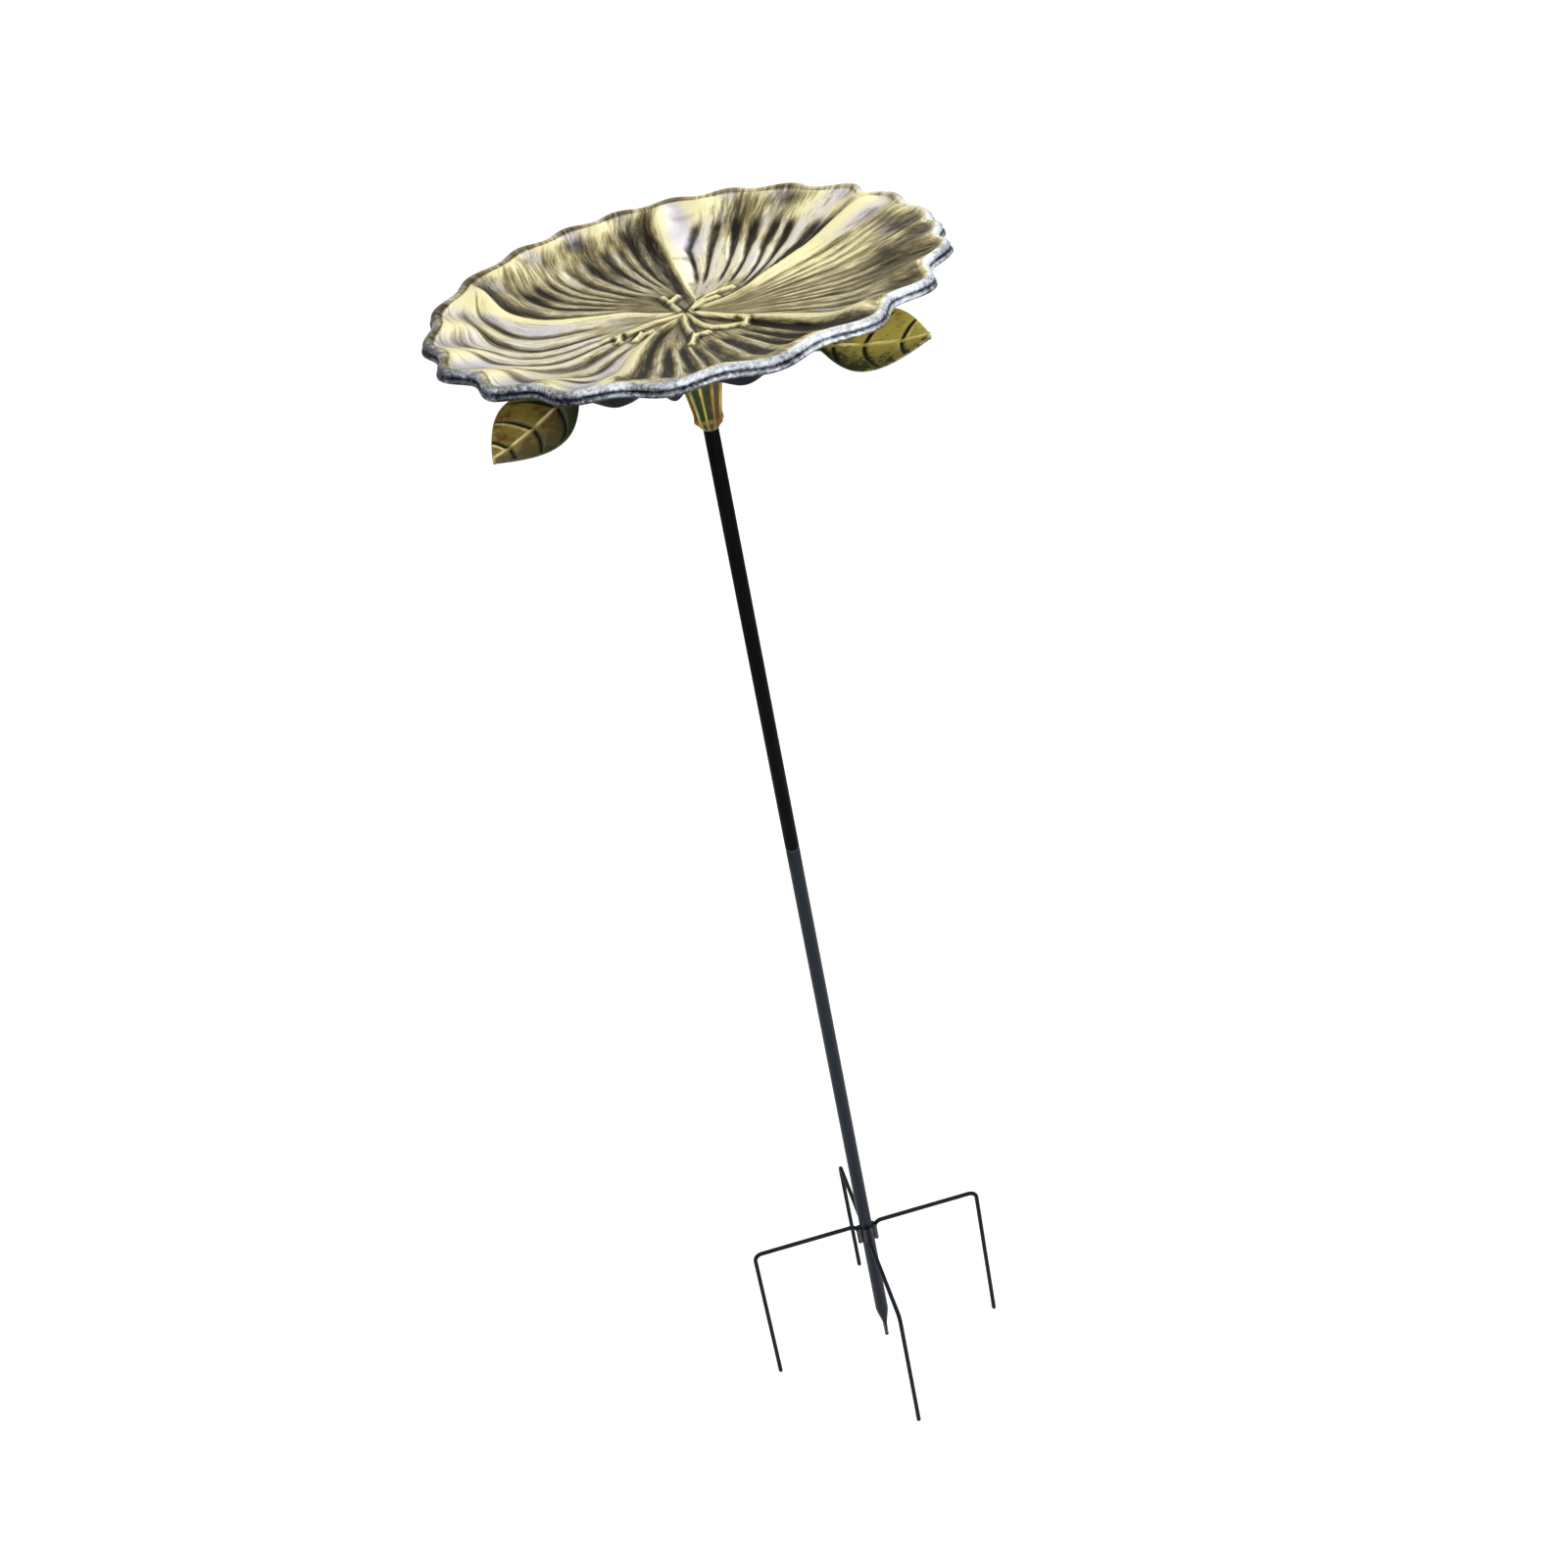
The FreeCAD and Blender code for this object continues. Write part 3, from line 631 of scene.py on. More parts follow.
def petal_relief(radius, direction, sizes):
    """Height in mm of ridges, flutes and stamens, and the marks level, cool and sweep, with painted light in
    level.
    """
    height = np.zeros_like(radius)
    level = np.full_like(radius, 0.5)
    cool = np.zeros_like(radius)
    sweep = np.zeros_like(radius)
    to_rim = 1 - smooth_step(128, 146, radius)
    chance = np.random.default_rng(7)
    for order, (first, last, count, share, low, high, plain_level, plain_cool, narrow) in enumerate(PETALS):
        start = edge_direction(first, radius)
        width = turn_from(start, edge_direction(last, radius))
        across = turn_from(start, direction) / width
        inside = (across >= 0) & (across <= 1)
        lean = across
        if first == "left_upper":
            lean = across + 0.15 * np.clip((radius - 88) / 42, 0, 2) ** 2
        lean = lean + (0.20 * np.sin(TAU * (2.3 * across + 0.3 * order))
                       + 0.08 * np.sin(TAU * 5.2 * across)) / count
        deep = chance.uniform(0.6, 1.15, count + 8)
        deep = deep[np.clip(np.floor(count * lean).astype(int) + 3, 0, count + 7)]
        wave = 0.5 + 0.5 * np.cos(TAU * count * lean)
        groove = (1 - wave) ** narrow * deep
        window = smooth_step(0.02, 0.12, across) * (1 - smooth_step(0.88, 0.98, across)) * inside
        if first == "right_upper":
            groove, line = back_groove(radius, direction)
            wave = 1 - groove
            lean = line / count
            window = 1.0 * inside
        window = window * smooth_step(low, low + 14, radius) * (1 - smooth_step(high - 14, high, radius))
        depth = sizes.flute_depth / MM * share
        height -= depth * groove * window
        height += 0.40 * depth * wave ** 2 * window
        level = np.where(inside, plain_level, level)
        # darker in the flute grooves, patina and painted shade, and paler on the flutes' crests, rubbed wash
        # and painted highlight
        level = level - window * groove * (0.34 + 0.52 * share) + window * wave ** 2 * 0.16 * share
        cool = np.where(inside, plain_cool, cool)
        cool = cool + window * (wave - 0.5) * 0.5
        sweep = np.where(inside, 0.1 * (lean * np.degrees(width.mean()) / 57.3 + 2.7 * order), sweep)
    for name, (side, _) in PETAL_EDGES.items():
        gap = signed_turn(edge_direction(name, radius), direction) * radius * -side
        near = np.abs(signed_turn(edge_direction(name, radius), direction)) < 1.2
        spread = 1.6 + 11.0 * smooth_step(20, 92, radius)
        tall = (sizes.ridge_height / MM * (0.55 + 0.45 * smooth_step(15, 70, radius)) * to_rim
                * smooth_step(1.5, 7, radius))
        steep = 1.3 + 1.2 * smooth_step(40, 110, radius)
        roll = np.where(gap > 0, bell(gap, spread), bell(gap, steep)) * near
        height += tall * roll
        # paler along each ridge's top: rubbed wash and painted highlight
        top = np.where(gap > 0, bell(gap, 0.55 * spread + 0.7), bell(gap, 0.8 * steep)) * near
        level += top * (0.16 + 0.32 * to_rim)
        cool -= top * 0.3
        # painted shadow: darker in the foot beside each ridge's steep side, where the overlapping petal's
        # shadow falls, over a shallow groove
        foot = bell(gap + 2.8 * steep, 2.4 + 3.5 * smooth_step(30, 100, radius)) * near * (gap < 0)
        height -= 0.8 * foot * smooth_step(8, 25, radius) * to_rim
        level -= foot * smooth_step(10, 40, radius) * (0.25 + 0.35 * to_rim)
        cool += 0.6 * bell(gap - 1.0 * spread, 0.5 * spread) * smooth_step(55, 95, radius) * near
    level -= 0.16 * (1 - smooth_step(34, 60, radius))
    x = radius * np.cos(direction)
    y = radius * np.sin(direction)
    for run in STAMENS:
        away = distance_to_run(x, y, run)
        tip = np.hypot(x - run[-1][0], y - run[-1][1])
        rise = sizes.stamen_height / MM * np.maximum(bell(away, 1.5), 0.95 * bell(tip, 2.3))
        height = np.maximum(height, rise - 0.4)
        line = np.maximum(bell(away, 1.9), bell(tip, 2.9))
        # paler stamens, rubbed wash and painted highlight, with patina and painted shade beside them
        level = level - 0.35 * bell(away - 3.2, 1.5) * (1 - line)
        level = np.maximum(level, 1.2 * line)
        cool = cool * (1 - line)
    for at, reach, wide, long, change, chill in DARK_AND_PALE_PATCHES:
        turn = np.mod(np.degrees(direction) - at + 180, 360) - 180
        spot = bell(turn, wide) * bell(radius - reach, long)
        level = level + change * spot
        cool = cool * (1 - spot) + chill * spot
    return height, level, cool, sweep


def hanging_folds(direction):
    """Where the petals' folds hang lowest under the front edge."""
    return sum(bell(np.degrees(direction) - at, wide) for at, wide in HANGING_FOLDS)


def build_dish():
    """The casting in one skin: petals above, rolled edge, ruffled underside, boss and its hole."""
    sizes = bpy.context.scene.feeder_dish
    around = 600
    rim_r = sizes.rim_radius / MM
    floor_z = sizes.floor_height / MM
    rim_z = sizes.rim_height / MM
    wall = sizes.wall / MM
    inner = np.concatenate((np.linspace(0, 52, 60), np.linspace(53.6, 141, 56)))
    under = np.linspace(140, 20.5, 22)
    rows = len(inner) + len(ROLLED_EDGE) + len(under) + len(BOSS)

    def bowl(radius):
        rise = rim_z - 0.8 - floor_z
        return floor_z + rise * (0.56 * (radius / 143) ** 2.2 + 0.44 * smooth_step(88, 150, radius) / 0.966)

    def shape(turn, row):
        direction = turn * TAU
        swing, wave = edge_swing(direction)
        toward = np.cos(direction - math.radians(295))
        edge_r = (rim_r + sizes.oval / MM * np.cos(2 * (direction - math.radians(22)))
                  + sizes.shift / MM * toward + swing)
        edge_z = rim_z + sizes.tilt / MM * toward
        radius = np.zeros_like(direction)
        height = np.zeros_like(direction)
        marks = {key: np.zeros_like(direction) for key in ("level", "band", "cool", "sweep")}
        top = row < len(inner)
        plain = inner[np.minimum(row, len(inner) - 1)]
        fade = smooth_step(96, 148, plain)
        lift, level, cool, sweep = petal_relief(plain, direction, sizes)
        # the edge's waves run a little way down into the petals as broad flutes
        flute = smooth_step(104, 138, plain) * wave
        radius[top] = (plain + fade * (edge_r - rim_r))[top]
        height[top] = (bowl(plain) + lift + fade ** 2 * (edge_z - rim_z) - 1.1 * flute)[top]
        # darker in the broad flutes' hollows, patina and painted shade, and paler just inside the edge
        marks["level"][top] = np.clip(level - 0.10 * flute + 0.10 * smooth_step(132, 141, plain),
                                      -0.35, 1.2)[top]
        marks["cool"][top] = np.clip(cool + 0.45 * flute, 0, 1)[top]
        marks["sweep"][:] = sweep
        first = len(inner)
        for at, (inward, down, bright) in enumerate(ROLLED_EDGE):
            here = row == first + at
            radius[here] = edge_r[here] - inward
            height[here] = edge_z[here] - down
            marks["band"][here] = smooth_step(1.5, 5.5, np.float64(at))
            # painted light: the edge is painted brighter towards 325 degrees, darker on the far side and
            # darker at its outward swings
            painted_light_round_edge = 0.24 * np.cos(direction - math.radians(325)) - 0.20 - 0.14 * wave
            marks["level"][here] = np.clip(bright + painted_light_round_edge[here] * (bright > 0), 0, 1)
            marks["cool"][here] = 0.35
        for at, reach in enumerate(under):
            here = row == first + len(ROLLED_EDGE) + at
            out = smooth_step(96, 148, np.float64(reach))
            ruffle = smooth_step(84, 138, np.float64(reach))
            radius[here] = reach + out * (edge_r[here] - rim_r)
            sag = 2.6 * ruffle * (0.5 - 0.5 * wave[here])
            sag = sag + (FOLD_DEPTH * hanging_folds(direction[here])
                         * smooth_step(96, 132, np.float64(reach)))
            height[here] = bowl(np.float64(reach)) - wall - sag + out ** 2 * (edge_z[here] - rim_z)
            marks["band"][here] = 1.0
            marks["level"][here] = -0.6
        for at, (reach, drop) in enumerate(BOSS):
            here = row == first + len(ROLLED_EDGE) + len(under) + at
            radius[here] = reach
            height[here] = drop
            marks["band"][here] = 1.0
            marks["level"][here] = -0.3
        places = np.stack((radius * np.cos(direction), radius * np.sin(direction), height), 1) * MM
        return places, marks

    dish = rolled_grid("flower_dish_casting", around, rows - 1, shape)
    soften(dish, 60)
    place_piece(dish, "dish", "dish_casting", dish_paint(), "flower_dish")


# ---- leaves --------------------------------------------------------------------------------------
# Heights and reaches in mm, headings and slopes in degrees. crossings are the shares of the blade where a
# pair of veins meets the midrib, and lit is the side of it (+1 left, -1 right, looking out along the
# leaf) that is painted as lit, with painted shade on the other side. warmth and glow go to its paint,
# and glow paints its gold brighter or darker in place of light.
LEAVES = {
    "leaf_left": dict(eye_z=815.0, heading=202.0, reach=142.2, tip_z=808.7, dip=20.0, roll=-5.0,
                      crossings=(0.27, 0.54, 0.81), lit=-1, warmth=0.70, painted_brightness=0.85),
    "leaf_right": dict(eye_z=819.0, heading=333.0, reach=140.9, tip_z=823.6, dip=-2.0, roll=9.0,
                       crossings=(0.14, 0.41, 0.735), lit=1, warmth=0.16, painted_brightness=1.45),
}


def build_leaf(node, eye_z, heading, reach, tip_z, dip, roll, crossings, lit, warmth, painted_brightness):
    """One leaf: a round stem, a cupped, sagging blade with raised ribs, and an eye on the stud."""
    name = node + "_casting"
    sizes = bpy.context.scene.feeder_leaf
    around = 224
    stem_rows = 24
    blade_rows = 170
    blade = sizes.blade / MM
    fall = math.radians(dip)
    base = reach - blade * math.cos(fall)
    base_z = tip_z + blade * math.sin(fall)
    thick = sizes.thickness / MM

    def shape(turn, row):
        share = np.clip((row - stem_rows) / (blade_rows - 1.0), 0, 1)
        on_stem = row < stem_rows
        stem = np.clip(row / stem_rows, 0, 1)
        left = blade * (1 - share)
        along = np.where(on_stem, 6.0 + (base - 6.0) * stem, reach - left * math.cos(fall))
        middle = tip_z + left * math.sin(fall) - 4 * sizes.sag / MM * share * (1 - share)
        middle = np.where(on_stem, eye_z + 2.0 + (base_z - eye_z - 2.0) * smooth_step(0, 1, stem), middle)
        width = sizes.half_width / MM * np.sin(np.pi * share ** 1.07) ** 0.95
        slim = 2.6 * (1 - smooth_step(0.0, 0.12, share))
        half = np.where(on_stem, 2.6, np.maximum(width, slim))
        open_up = smooth_step(0.0, 0.16, share)
        last = row >= stem_rows + blade_rows - 1
        half = np.where(last, 0.0, half)
        angle = turn * TAU
        side = np.cos(angle)
        y = half * side
        edge = np.sqrt(np.maximum(1 - side ** 2, 0))
        body_t = (1 - open_up) * 5.0 * edge + open_up * thick * (0.25 + 0.75 * edge) * (edge > 0.01)
        body_t = np.where(last, 0.0, body_t)
        above = np.sin(angle) >= 0
        from_rib = np.abs(y)
        vein = np.zeros_like(y)
        lip_and_painted_highlight = np.zeros_like(y)
        for crossing in crossings:
            line = crossing + 0.22 * from_rib / blade + 1.6 * (from_rib / blade) ** 3
            away = (share - line) * blade
            keep = (smooth_step(0.6, 2.4, from_rib) * open_up
                    * (1 - smooth_step(0.86, 0.98, from_rib / np.maximum(half, 1))))
            vein = np.maximum(vein, bell(away, 1.1 + 0.5 * bell(from_rib - 12, 8)) * keep)
            # painted highlight: raised lips behind the veins, only on the lit side, painted pale through the
            # rib mark
            lip_and_painted_highlight = np.maximum(lip_and_painted_highlight, bell(away - 2.6, 1.0) * keep * smooth_step(0.3, 0.8, crossing + 0.1)
                             * (lit * y > 0))
        rib = bell(y, 1.15) * smooth_step(0.10, 0.24, share) * (1 - 0.6 * smooth_step(0.93, 1.0, share))
        for crossing in crossings:
            rib = rib * (1 - 0.95 * bell((share - crossing) * blade + 0.3, 2.8))
        relief = sizes.rib_height / MM * rib - sizes.vein_depth / MM * vein + 0.35 * lip_and_painted_highlight
        quilt = 0.7 * np.sin(np.pi * np.clip(from_rib / np.maximum(half, 1), 0, 1)) * open_up
        cup = 0.13 * half * side ** 2 * open_up
        z = middle + cup + math.tan(math.radians(roll)) * y * open_up
        z = z + np.where(above, 0.5 * body_t + (relief + quilt) * (edge > 0.25),
                         -0.5 * body_t + 0.6 * quilt)
        turned = math.radians(heading)
        places = np.stack((along * math.cos(turned) - y * math.sin(turned),
                           along * math.sin(turned) + y * math.cos(turned), z), 1) * MM
        # painted shade: darker towards the stem under the dish, over the half turned from the light, and
        # along the edges
        painted_shade = 0.10 + 0.30 * smooth_step(0.3, 0.95, 1 - share) + 0.58 * smooth_step(0.05, 0.8, -lit * side)
        painted_shade = painted_shade + 0.15 * bell(from_rib - half, 3.0)
        # the blade's underside is painted in full shade
        marks = {
            "groove": np.where(above, np.clip(1.1 * vein, 0, 1), 0.3),
            "rib": np.where(above, np.clip(rib + 0.8 * lip_and_painted_highlight, 0, 1), 0.0),
            "shade": np.where(above, painted_shade, 1.0),
        }
        return places, marks

    leaf = rolled_grid(name, around, stem_rows + blade_rows - 1, shape)
    eye = bored_rod(node + "_eye", 72, LEAF_EYE_R * MM, STUD_R * MM, eye_z * MM,
                    (eye_z + LEAF_EYE_THICK) * MM, 0.5 * MM, 3)
    pick(leaf, eye)
    bpy.ops.object.join()
    soften(leaf, 55)
    place_piece(leaf, "upper_pole", "leaf_casting", leaf_paint(name + "_gold", warmth, painted_brightness), node)


def bore_through(piece, bore_r, outer_r):
    """Insets both flat ends of an upright cylinder and joins the insets as a hole."""
    edit(piece)
    bpy.ops.mesh.select_mode(type="FACE")
    bpy.ops.object.mode_set(mode="OBJECT")
    for face in piece.data.polygons:
        face.select = abs(face.normal.z) > 0.9
    bpy.ops.object.mode_set(mode="EDIT")
    bpy.ops.mesh.inset(thickness=outer_r - bore_r)
    bpy.ops.mesh.bridge_edge_loops()
    bpy.ops.object.mode_set(mode="OBJECT")


def round_edges(piece, width, segments):
    pick(piece)
    bevel = piece.modifiers.new("rounded", "BEVEL")
    bevel.width = width
    bevel.segments = segments
    bevel.limit_method = "ANGLE"
    bevel.angle_limit = math.radians(40)
    bpy.ops.object.modifier_apply(modifier=bevel.name)


def bored_rod(name, vertices, radius, bore_r, low, high, rounding, segments):
    """An upright rod with a hole through it and rounded ends, from low to high."""
    clear_selection()
    bpy.ops.mesh.primitive_cylinder_add(vertices=vertices, radius=radius, depth=high - low,
                                        end_fill_type="NGON",
                                        location=(0, 0, (low + high) / 2))
    rod = named(name)
    bpy.ops.object.transform_apply(location=True, rotation=True, scale=True)
    bore_through(rod, bore_r, radius)
    round_edges(rod, rounding, segments)
    return rod


# ---- calyx ---------------------------------------------------------------------------------------
def build_calyx():
    """Fluted bell: raised ribs that end in flared toes round the tube, opening to sepals above."""
    bottom = CALYX_BOX[0].z / MM
    top = CALYX_BOX[1].z / MM
    outside = np.linspace(0, 1, 64)
    inside_points = ((4.95, bottom + 0.6), (4.95, bottom + 16.4), (2.6, bottom + 16.8), (2.6, top - 0.2))
    top_points = ((14.2, top + 0.1), (12.5, top - 0.3), (3.2, top - 0.1))
    rows = len(outside) + len(top_points) + len(inside_points) + 1

    def shape(turn, row):
        direction = turn * TAU
        row = row % (rows - 1)            # the last ring meets the first
        rib = np.cos(CALYX_RIBS * direction)
        share = outside[np.minimum(row, len(outside) - 1)]
        ridge = np.abs(np.cos(CALYX_RIBS * direction / 2)) ** 8
        foot = 1 - smooth_step(0, 0.10, share)
        radius = 7.3 + 7.6 * share ** 1.35 - 1.2 * foot + 0.9 * bell(share - 0.10, 0.07)
        radius = radius + (1.5 * ridge - 0.9) * smooth_step(0, 0.08, share)
        height = (bottom + 2.0 + share * (top - bottom - 2.0)
                  + 2.2 * (1 - ridge) * (1 - smooth_step(0, 0.22, share)))
        groove = 1.0 - 1.25 * ridge - 0.5 * bell(share - 0.10, 0.06)
        for at, (reach, level) in enumerate(top_points + tuple(reversed(inside_points))):
            here = row == len(outside) + at
            radius[here] = reach + (0.5 * rib[here] if at == 0 else 0)
            height[here] = level
            groove[here] = 0.6
        places = np.stack((radius * np.cos(direction), radius * np.sin(direction), height), 1) * MM
        return places, {"groove": np.clip(groove, 0, 1)}

    calyx = rolled_grid("calyx_bell", 240, rows - 1, shape)
    soften(calyx, 50)
    place_piece(calyx, "upper_pole", "calyx_casting", calyx_paint(), "calyx_socket")


# ---- tubes ---------------------------------------------------------------------------------------
def build_tubes():
    """The two lengths of the pole, the lower one pinched to a flat point."""
    tone = colours()
    upper = bored_rod("upper_pole_tube", 64, TUBE_R, TUBE_BORE_R * MM, POLE_JOINT, POLE_TOP, 0.35 * MM, 2)
    soften(upper)
    place_piece(upper, "upper_pole", "upper_tube_paint",
                powder_coat("black_powder_coat", tuple(tone.black), 0.46, 0.5, 0.02), "upper_tube")
    outside = np.concatenate((np.linspace(SPIKE_TIP / MM, 40, 45),
                              np.linspace(44, LOWER_TOP / MM - 0.5, 24), [LOWER_TOP / MM]))
    inside = ((TUBE_BORE_R, LOWER_TOP / MM), (TUBE_BORE_R, 44.0), (0.0, 42.0))
    rows = 1 + len(outside) + len(inside)

    def shape(turn, row):
        angle = turn * TAU
        level = outside[np.clip(row - 1, 0, len(outside) - 1)]
        flat = 1 - smooth_step(17.0, 37.0, level)
        end = 1 - smooth_step(SPIKE_TIP / MM, 18.0, level)
        round_r = TUBE_R / MM - 0.35 * (row == len(outside))
        half_x = round_r * (1 - flat) + 1.5 * flat
        half_y = round_r + (0.15 * flat - 2.5 * end) * (flat > 0)
        fold = 0.5 * flat * (1 - end) * bell(np.sin(angle), 0.25) * np.sign(np.cos(angle))
        x = half_x * np.cos(angle) - fold
        y = half_y * np.sin(angle)
        z = level + 0.5 * (level <= SPIKE_TIP / MM + 0.01) * np.abs(np.sin(angle))
        hub = row == 0
        x[hub] = 0.0
        y[hub] = 0.0
        z[hub] = SPIKE_TIP / MM
        for at, (reach, height) in enumerate(inside):
            here = row == 1 + len(outside) + at
            x[here] = reach * np.cos(angle[here])
            y[here] = reach * np.sin(angle[here])
            z[here] = height
        return np.stack((x, y, z), 1) * MM, {}

    lower = rolled_grid("lower_pole_tube", 72, rows - 1, shape)
    soften(lower)
    place_piece(lower, "lower_pole", "lower_tube_paint",
                powder_coat("slate_powder_coat", tuple(tone.slate), 0.40, 0.7, 0.10), "lower_tube")


# ---- prongs and welds ----------------------------------------------------------------------------
PRONGS = {                   # leg above the arm, turn about +Z in degrees
    "right": (False, 0.0),
    "back": (True, 90.0),
    "left": (False, 180.0),
    "front": (True, 270.0),
}


def arm_height(side):
    """Height of a wire's level arm: its leg stands above the arm or hangs below it."""
    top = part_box("prong_wire_" + side)[1].z
    return top - PRONG_LEG * MM if PRONGS[side][0] else top - WIRE_R


def build_prong(side):
    """One bent wire, drawn out of a round start face by extruding straights and spinning bends."""
    leg_up, turn = PRONGS[side]
    bend = PRONG_BEND * MM
    leg = PRONG_LEG * MM
    arm_z = arm_height(side)
    start_x = TUBE_R + WIRE_R
    way = 1.0 if leg_up else -1.0
    clear_selection()
    bpy.ops.mesh.primitive_circle_add(vertices=24, radius=WIRE_R, fill_type="NGON",
                                      location=(start_x, 0, arm_z + way * leg))
    wire = named("prong_wire_" + side + "_bent")
    bpy.ops.object.transform_apply(location=True, rotation=True, scale=True)
    edit(wire)
    bpy.ops.mesh.select_mode(type="FACE")
    bpy.ops.mesh.select_all(action="SELECT")
    pull((0, 0, -way * (leg - bend)), 6)
    bpy.ops.mesh.spin(steps=12, angle=math.radians(90), center=(start_x + bend, 0, arm_z + way * bend),
                      axis=(0, way, 0))
    pull((PRONG_R - start_x - 2 * bend, 0, 0), 14)
    bpy.ops.mesh.spin(steps=12, angle=math.radians(90), center=(PRONG_R - bend, 0, arm_z - bend),
                      axis=(0, -1, 0))
    pull((0, 0, -(arm_z - bend - WIRE_R)), 18)
    for step in range(5):
        last = math.radians(18 * (step + 1))
        before = math.radians(18 * step)
        drop = WIRE_R * (math.sin(last) - math.sin(before))
        shrink = max(math.cos(last), 0.05) / math.cos(before)
        bpy.ops.mesh.extrude_region_move(TRANSFORM_OT_translate={"value": (0, 0, -drop)})
        bpy.ops.transform.resize(value=(shrink, shrink, 1), center_override=(PRONG_R, 0, 0))
    bpy.ops.mesh.select_all(action="SELECT")
    bpy.ops.transform.rotate(value=math.radians(-turn), orient_axis="Z", center_override=(0, 0, 0))
    bpy.ops.object.mode_set(mode="OBJECT")
    return wire


def pull(move, parts):
    """Extrudes the selected face in several equal steps."""
    step = tuple(value / parts for value in move)
    for _ in range(parts):
        bpy.ops.mesh.extrude_region_move(TRANSFORM_OT_translate={"value": step})


def build_prongs():
    tone = colours()
    coat = powder_coat("wire_paint", times(0.6, tone.slate), 0.42, 0.5, 0.06)
    for side in PRONGS:
        wire = build_prong(side)
        close_up(wire)
        soften(wire)
        place_piece(wire, "lower_pole", "wire_paint", coat, "prong_wire_" + side)


def build_welds():
    """Two rows of overlapping weld pools beside each wire's leg, fused into lumpy runs."""
    clear_selection()
    runs = []
    for order, (side, (leg_up, turn)) in enumerate(PRONGS.items()):
        way = 1.0 if leg_up else -1.0
        middle = arm_height(side) + way * PRONG_LEG / 2 * MM
        for across in (-1, 1):
            for pool in range(5):
                wobble = 0.25 * math.sin(2.1 * pool + order * 1.7 + across)
                height = middle + (pool - 2) * 2.5 * MM
                angle = math.radians(turn)
                x, y = 5.55 * MM, across * (2.25 + 0.2 * wobble) * MM
                spot = (x * math.cos(angle) - y * math.sin(angle),
                        x * math.sin(angle) + y * math.cos(angle), height)
                bpy.ops.mesh.primitive_uv_sphere_add(segments=16, ring_count=10,
                                                     radius=(1.75 + 0.3 * wobble) * MM, location=spot)
                runs.append(bpy.context.object)
    pick(*runs)
    bpy.ops.object.join()
    bpy.ops.object.transform_apply(location=True, rotation=True, scale=True)
    weld = named("weld_runs")
    remesh = weld.modifiers.new("fused", "REMESH")
    remesh.mode = "VOXEL"
    remesh.voxel_size = 0.28 * MM
    bpy.ops.object.modifier_apply(modifier=remesh.name)
    relax = weld.modifiers.new("relaxed", "SMOOTH")
    relax.factor = 0.6
    relax.iterations = 3
    bpy.ops.object.modifier_apply(modifier=relax.name)
    soften(weld, 60)
    place_piece(weld, "lower_pole", "weld_paint", weld_metal(), "weld_beads")


# ---- hardware ------------------------------------------------------------------------------------
def threaded_stud(name, low, high, radius, pitch):
    """A stud whose skin climbs as a real helix, with plain chamfered ends."""
    around = 40
    per_turn = 10
    rows = int((high - low) / pitch * per_turn)

    def shape(turn, row):
        ring = np.clip(row - 1, 0, rows)
        z = low + (high - low) * ring / rows
        tooth = np.abs(np.mod(z / pitch - turn, 1.0) * 2 - 1)
        depth = THREAD_DEPTH * pitch * smooth_step(0.12, 0.88, tooth)
        chamfer = np.minimum(np.minimum(z - low, high - z), 0.6 * pitch)
        reach = np.minimum(radius - depth, radius - 0.6 * pitch + chamfer)
        reach = np.where((row == 0) | (row == rows + 2), 0.0, reach)
        angle = turn * TAU
        return np.stack((reach * np.cos(angle), reach * np.sin(angle), z), 1), {}

    return rolled_grid(name, around, rows + 2, shape)


def build_hardware():
    """Studs with cut threads, plating for the plugs and nut, and oiled steel and fibre for the washers."""
    zinc = zinc_plate()
    for node in ("joint_stud", "head_stud"):
        low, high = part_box(node)
        stud = threaded_stud(node + "_threaded", low.z, high.z, high.x, THREAD_PITCH * MM)
        soften(stud, 30)
        place_piece(stud, "upper_pole", "zinc_hardware", zinc, node)
    oiled = powder_coat("oiled_spring_steel", (0.012, 0.011, 0.010), 0.40, 1.0, 0.3)
    finishes = dict.fromkeys(("lower_insert", "upper_insert", "top_insert", "head_nut"), zinc)
    finishes.update(joint_spring_washer=oiled, head_spring_washer=oiled, fibre_washer=fibre_board())
    for node, finish in finishes.items():
        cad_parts[node].data.materials.clear()
        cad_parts[node].data.materials.append(finish)


# ---- stage ---------------------------------------------------------------------------------------
# Place, aim, size in metres, power in watts and colour.
SOFTBOXES = {
    "key_light": ((-0.9, -0.9, 2.3), (0, 0, 0.8), (0.7, 0.7), 5.0, (1.0, 0.98, 0.94)),
    "front_fill": ((0.35, -1.6, 1.36), (0, 0, 0.82), (0.6, 0.6), 26.0, (1.0, 1.0, 1.0)),
    "back_light": ((0.8, 1.3, 1.7), (0, 0, 0.8), (0.8, 0.5), 7.0, (0.95, 0.97, 1.0)),
}


def add_softbox(name, place, aim, size, power, tint_rgb):
    clear_selection()
    bpy.ops.object.light_add(type="AREA", location=place)
    lamp = bpy.context.object
    lamp.name = name
    lamp.data.shape = "RECTANGLE"
    lamp.data.size = size[0]
    lamp.data.size_y = size[1]
    lamp.data.energy = power
    lamp.data.color = tint_rgb
    lamp.rotation_euler = (Vector(aim) - Vector(place)).to_track_quat("-Z", "Y").to_euler()


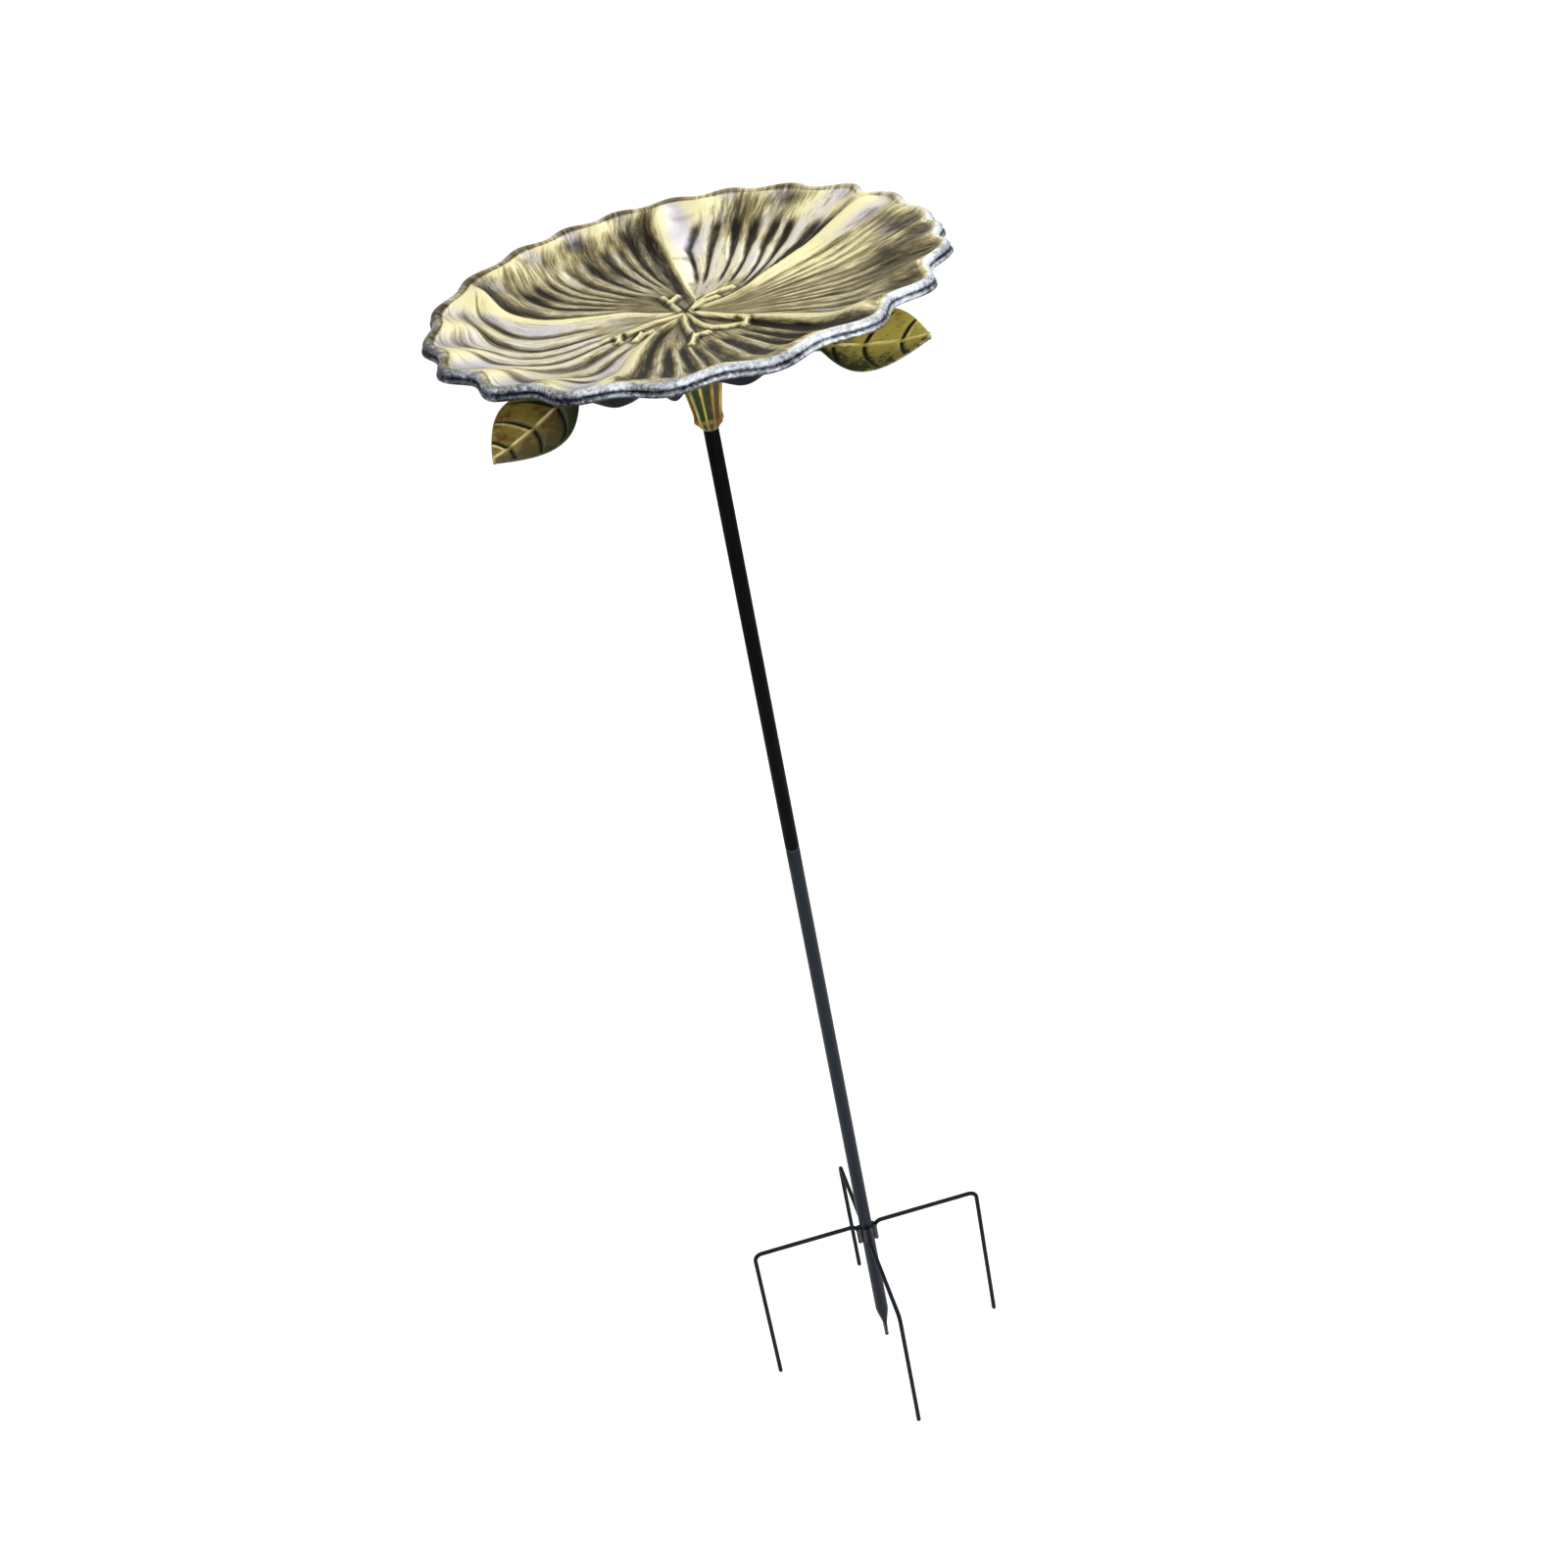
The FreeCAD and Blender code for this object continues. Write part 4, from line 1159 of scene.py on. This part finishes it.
def build_stage():
    """Pale floor, soft light and the camera."""
    stage = bpy.context.scene.feeder_stage
    clear_selection()
    bpy.ops.mesh.primitive_plane_add(size=stage.floor_size, location=(0, 0, CAD_BOX[0][2] - 0.0004))
    floor = named("studio_floor")
    bpy.ops.object.transform_apply(location=True, rotation=True, scale=True)
    paint = Paint("floor_paint")
    cloud = paint.noise(1.5, 2.0, 0.5)
    shade = times(0.99, stage.floor_tint)
    floor.data.materials.append(paint.finish(Base_Color=paint.mix(cloud, shade, tuple(stage.floor_tint)),
                                             Roughness=0.9))

    world = bpy.data.worlds.new("studio")
    bpy.context.scene.world = world
    world.use_nodes = True
    world.node_tree.nodes["Background"].inputs["Color"].default_value = (1.0, 1.0, 1.0, 1.0)
    world.node_tree.nodes["Background"].inputs["Strength"].default_value = 1.05

    for name, settings in SOFTBOXES.items():
        add_softbox(name, *settings)

    rise, lean, around = (math.radians(turn) for turn in (CAMERA_RISE, CAMERA_LEAN, CAMERA_AROUND))
    back = Vector((math.sin(around) * math.cos(rise), -math.cos(around) * math.cos(rise), math.sin(rise)))
    right = Vector((math.cos(around), math.sin(around), 0))
    up = right.cross(-back)
    side = math.cos(lean) * right + math.sin(lean) * up
    head = -math.sin(lean) * right + math.cos(lean) * up
    camera_data = bpy.data.cameras.new("camera")
    camera_data.sensor_width = 36.0
    camera_data.lens = CAMERA_LENS
    camera_data.clip_start = 0.01
    camera = bpy.data.objects.new("camera", camera_data)
    bpy.context.scene.collection.objects.link(camera)
    camera.matrix_world = Matrix((
        (side.x, head.x, back.x, CAMERA_AT[0]),
        (side.y, head.y, back.y, CAMERA_AT[1]),
        (side.z, head.z, back.z, CAMERA_AT[2]),
        (0.0, 0.0, 0.0, 1.0),
    ))
    bpy.context.scene.camera = camera
    bpy.context.scene.view_settings.view_transform = "Standard"


# ---- operators -----------------------------------------------------------------------------------
class FEEDER_OT_stage(bpy.types.Operator):
    """Add the floor, the soft light and the camera"""
    bl_idname = "feeder.stage"
    bl_label = "Stage"

    def execute(self, context):
        build_stage()
        return {"FINISHED"}


class FEEDER_OT_dish(bpy.types.Operator):
    """Model the flower dish"""
    bl_idname = "feeder.dish"
    bl_label = "Flower dish"

    def execute(self, context):
        build_dish()
        return {"FINISHED"}


class FEEDER_OT_leaves(bpy.types.Operator):
    """Model the two leaves under the dish"""
    bl_idname = "feeder.leaves"
    bl_label = "Leaves"

    def execute(self, context):
        for node, places in LEAVES.items():
            build_leaf(node, **places)
        return {"FINISHED"}


class FEEDER_OT_calyx(bpy.types.Operator):
    """Model the fluted calyx"""
    bl_idname = "feeder.calyx"
    bl_label = "Calyx"

    def execute(self, context):
        build_calyx()
        return {"FINISHED"}


class FEEDER_OT_pole(bpy.types.Operator):
    """Model the two lengths of the pole"""
    bl_idname = "feeder.pole"
    bl_label = "Pole"

    def execute(self, context):
        build_tubes()
        return {"FINISHED"}


class FEEDER_OT_prongs(bpy.types.Operator):
    """Model the four bent wires and their welds"""
    bl_idname = "feeder.prongs"
    bl_label = "Prongs and welds"

    def execute(self, context):
        build_prongs()
        build_welds()
        return {"FINISHED"}


class FEEDER_OT_hardware(bpy.types.Operator):
    """Model the studs and plate the small steel parts"""
    bl_idname = "feeder.hardware"
    bl_label = "Screws and washers"

    def execute(self, context):
        build_hardware()
        return {"FINISHED"}


class FEEDER_PT_sidebar(bpy.types.Panel):
    bl_label = "Bird feeder"
    bl_idname = "FEEDER_PT_sidebar"
    bl_space_type = "VIEW_3D"
    bl_region_type = "UI"
    bl_category = "Feeder"

    def draw(self, context):
        scene = context.scene
        for title, group in (("Dish", scene.feeder_dish), ("Leaves", scene.feeder_leaf),
                             ("Colours", scene.feeder_colours), ("Stage", scene.feeder_stage)):
            box = self.layout.box()
            box.label(text=title)
            for key in group.bl_rna.properties.keys():
                if key not in ("rna_type", "name"):
                    box.prop(group, key)
        for operator in OPERATORS:
            self.layout.operator(operator.bl_idname)


OPERATORS = (FEEDER_OT_stage, FEEDER_OT_dish, FEEDER_OT_leaves, FEEDER_OT_calyx, FEEDER_OT_pole,
             FEEDER_OT_prongs, FEEDER_OT_hardware)
GROUPS = {"feeder_dish": DishSizes, "feeder_leaf": LeafSizes, "feeder_colours": FeederColours,
          "feeder_stage": StageSettings}


def register():
    for kind in (*GROUPS.values(), *OPERATORS, FEEDER_PT_sidebar):
        bpy.utils.register_class(kind)
    for name, kind in GROUPS.items():
        setattr(bpy.types.Scene, name, bpy.props.PointerProperty(type=kind))


def unregister():
    for name in GROUPS:
        delattr(bpy.types.Scene, name)
    for kind in (FEEDER_PT_sidebar, *reversed(OPERATORS), *GROUPS.values()):
        bpy.utils.unregister_class(kind)


def main():
    register()
    for operator in OPERATORS:
        group, action = operator.bl_idname.split(".")
        getattr(getattr(bpy.ops, group), action)()


if __name__ == "__main__":
    main()
